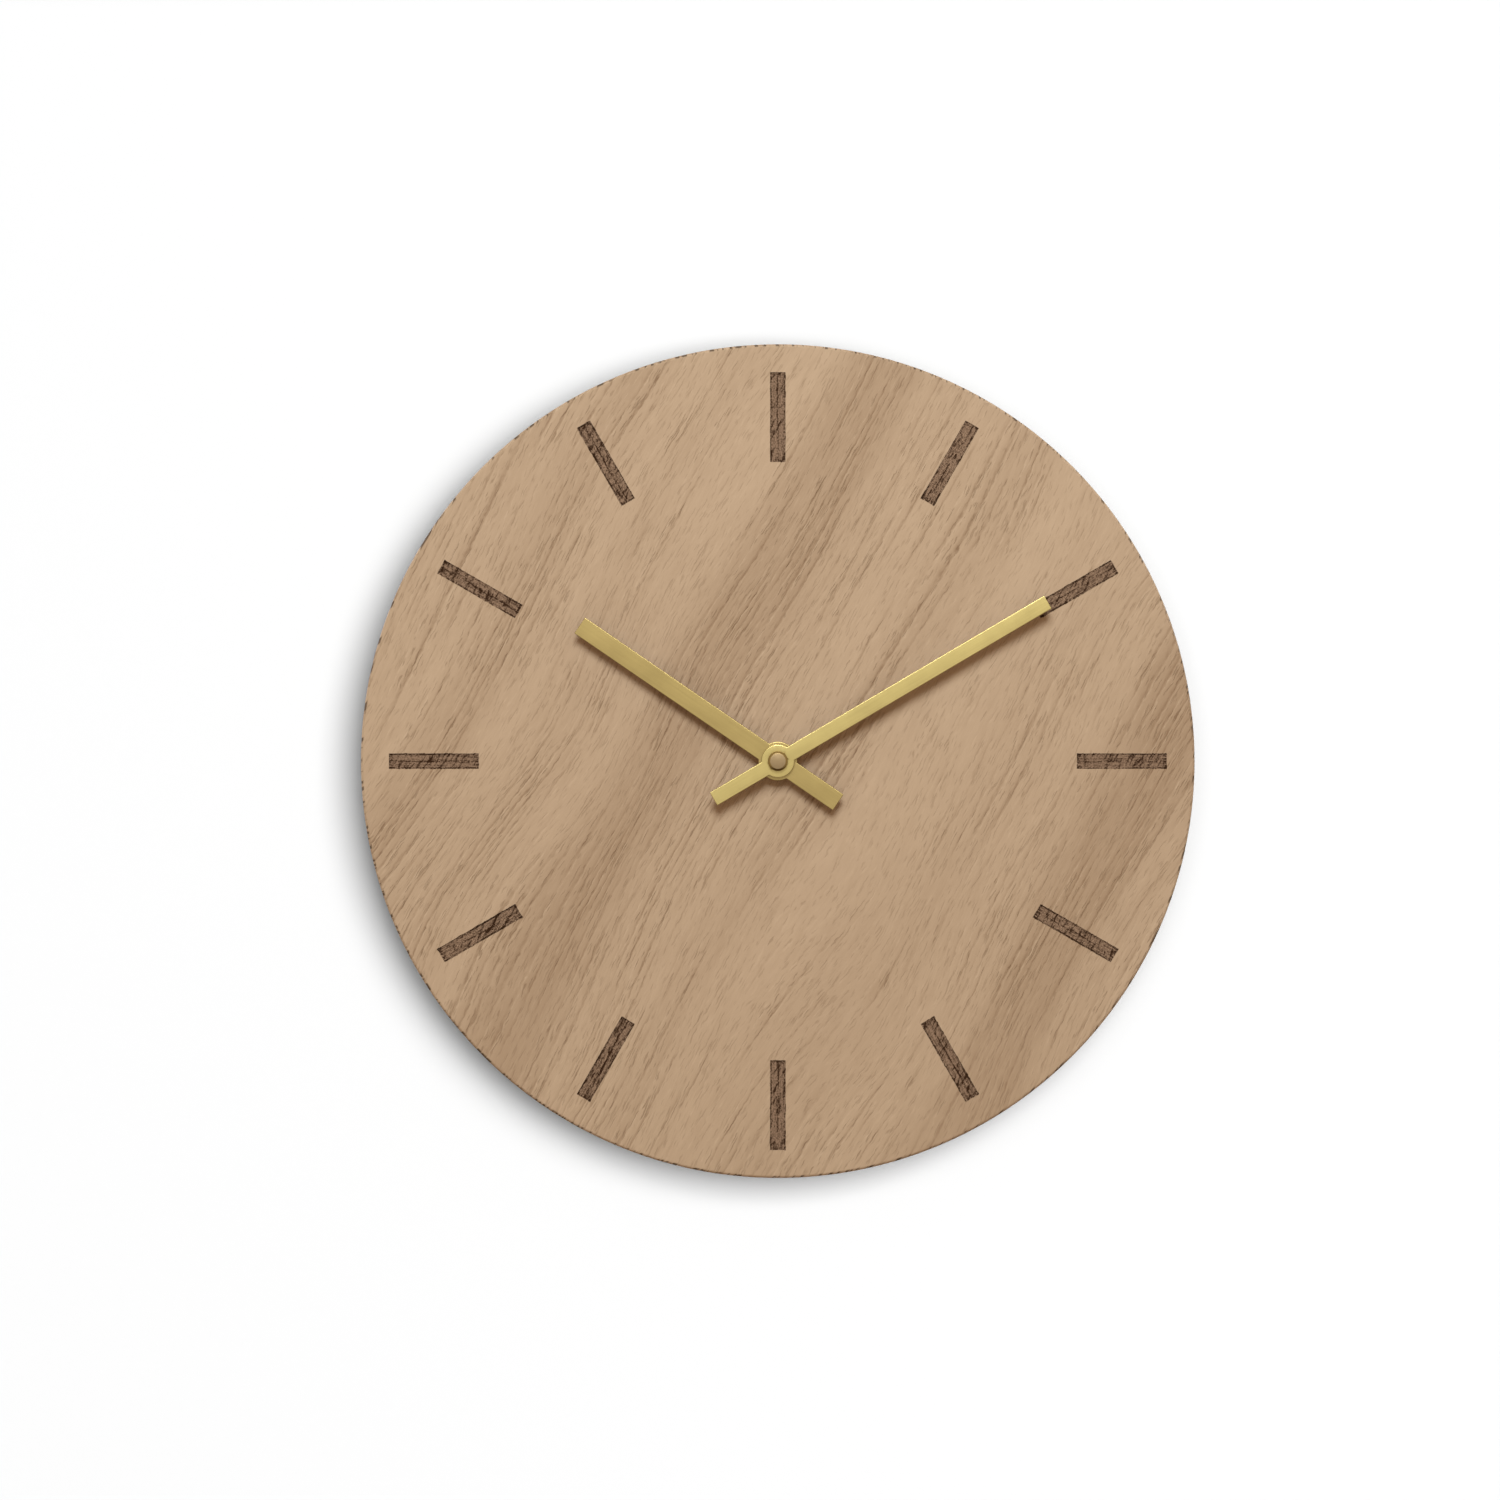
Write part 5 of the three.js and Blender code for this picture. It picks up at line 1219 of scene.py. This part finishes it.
def recess_wing(middle, top, turn):
    """A tapered bar that cuts one arm of the cross into a screw's head."""
    half = RECESS_WIDTH / 2
    wing = plate(-RECESS_REACH, RECESS_REACH, -half, half, top + OVERCUT, top - RECESS_DEPTH)
    deep = [vert for vert in wing.verts if vert.co.y < top]
    bmesh.ops.scale(wing, verts=deep, vec=RECESS_TAPER)
    rotate(wing, turn, "Y")
    move(wing, middle)
    return wing


def hanger_screw(node, turn):
    low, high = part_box(node)
    middle = screw_axis(node)
    top = high.y
    cone = SCREW_HEAD - SCREW_SHANK
    neck = top - cone
    point = low.y + 2 * SCREW_SHANK
    envelope = [(0, low.y), (SCREW_SHANK, point), (SCREW_SHANK, neck), (0, neck)]
    head = [(0, top), (SCREW_HEAD, top), (SCREW_SHANK, neck), (0, top - 1.5 * cone)]
    bar = thread(SCREW_ROOT, SCREW_SHANK, SCREW_PITCH, low.y, neck, middle)
    bar = carve(bar, [turned(envelope, middle)], "INTERSECT")
    bar = carve(bar, [turned(head, middle)], "UNION")
    wings = [recess_wing(middle, top, turn + quarter) for quarter in (0, math.pi / 2)]
    return carve(bar, wings)


zinc = finishes["zinc_steel"]
piece(hanger_plate(), "hanger_keyhole_plate", "zinc_steel", zinc, "hanger_plate")
for node, turn in zip(HANGER_SCREWS, SCREW_TURNS):
    piece(hanger_screw(node, turn), node + "_threaded", "steel", finishes["steel"], node)

# %% [markdown]
# ## Inside the movement
#
# The wheels, the stepping motor and the electronics keep their CAD shapes, because the closed case hides
# them. Each still gets a finish of its own. The coil shows its turns of fine wire, and the board its
# copper tracks under green lacquer.

# %% Inside the movement
WIRE_PITCH = 0.12 * MM
TRACK_PITCH = 1.3 * MM


def winding_finish():
    material, (x, y, z) = new_finish("copper_winding")
    wire = x.wave(WIRE_PITCH)
    cloud = even_noise(x, y, z, 2 * MM)
    colour = (wire * 0.6 + cloud * 0.4).blend(srgb(104, 52, 28), srgb(184, 106, 62))
    return finished(material, colour, 0.34 + (cloud - 0.5) * 0.2, wire.bump(0.03 * MM), 1.0)


def board_finish():
    material, (x, y, z) = new_finish("circuit_board_lacquer")
    swerve = even_noise(x, y, z, 4 * MM, 0.0)
    lane = (x / TRACK_PITCH + swerve.rise(0.45, 0.55)).calc("FRACT")
    track = (lane - 0.5).within(0.18, 0.02)
    weave = even_noise(x, y, z, 0.4 * MM)
    green = weave.blend(srgb(22, 58, 38), srgb(34, 78, 50))
    colour = (track * 0.7).blend(green, srgb(62, 112, 66))
    normal = (track + weave * 0.2).bump(0.02 * MM)
    return finished(material, colour, 0.35 + (weave - 0.5) * 0.1, normal)


def dress(finish, *nodes):
    """Give CAD nodes a finish through their material slots."""
    for node in nodes:
        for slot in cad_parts[node].material_slots:
            slot.material = finish


white = finishes["white_plastic"]
dress(white, "minute_wheel", "hour_wheel", "centre_wheel", "third_wheel", "second_wheel")
dress(white, "intermediate_wheel", "rotor_pinion", "setting_stem", "gear_bridge")
dress(black, "coil_bobbin")
dress(finishes["rubber"], "rubber_washer")
dress(finishes["steel"], "second_arbor", "quartz_crystal", "contact_positive", "contact_negative")
dress(finishes["soft_iron"], "stator", "coil_core")
dress(finishes["magnet"], "rotor_magnet")
dress(finishes["black_epoxy"], "driver_chip")
dress(plain_brass, "cannon_pinion")
dress(winding_finish(), "coil_winding")
dress(board_finish(), "circuit_board")
print("finishes inside the movement")
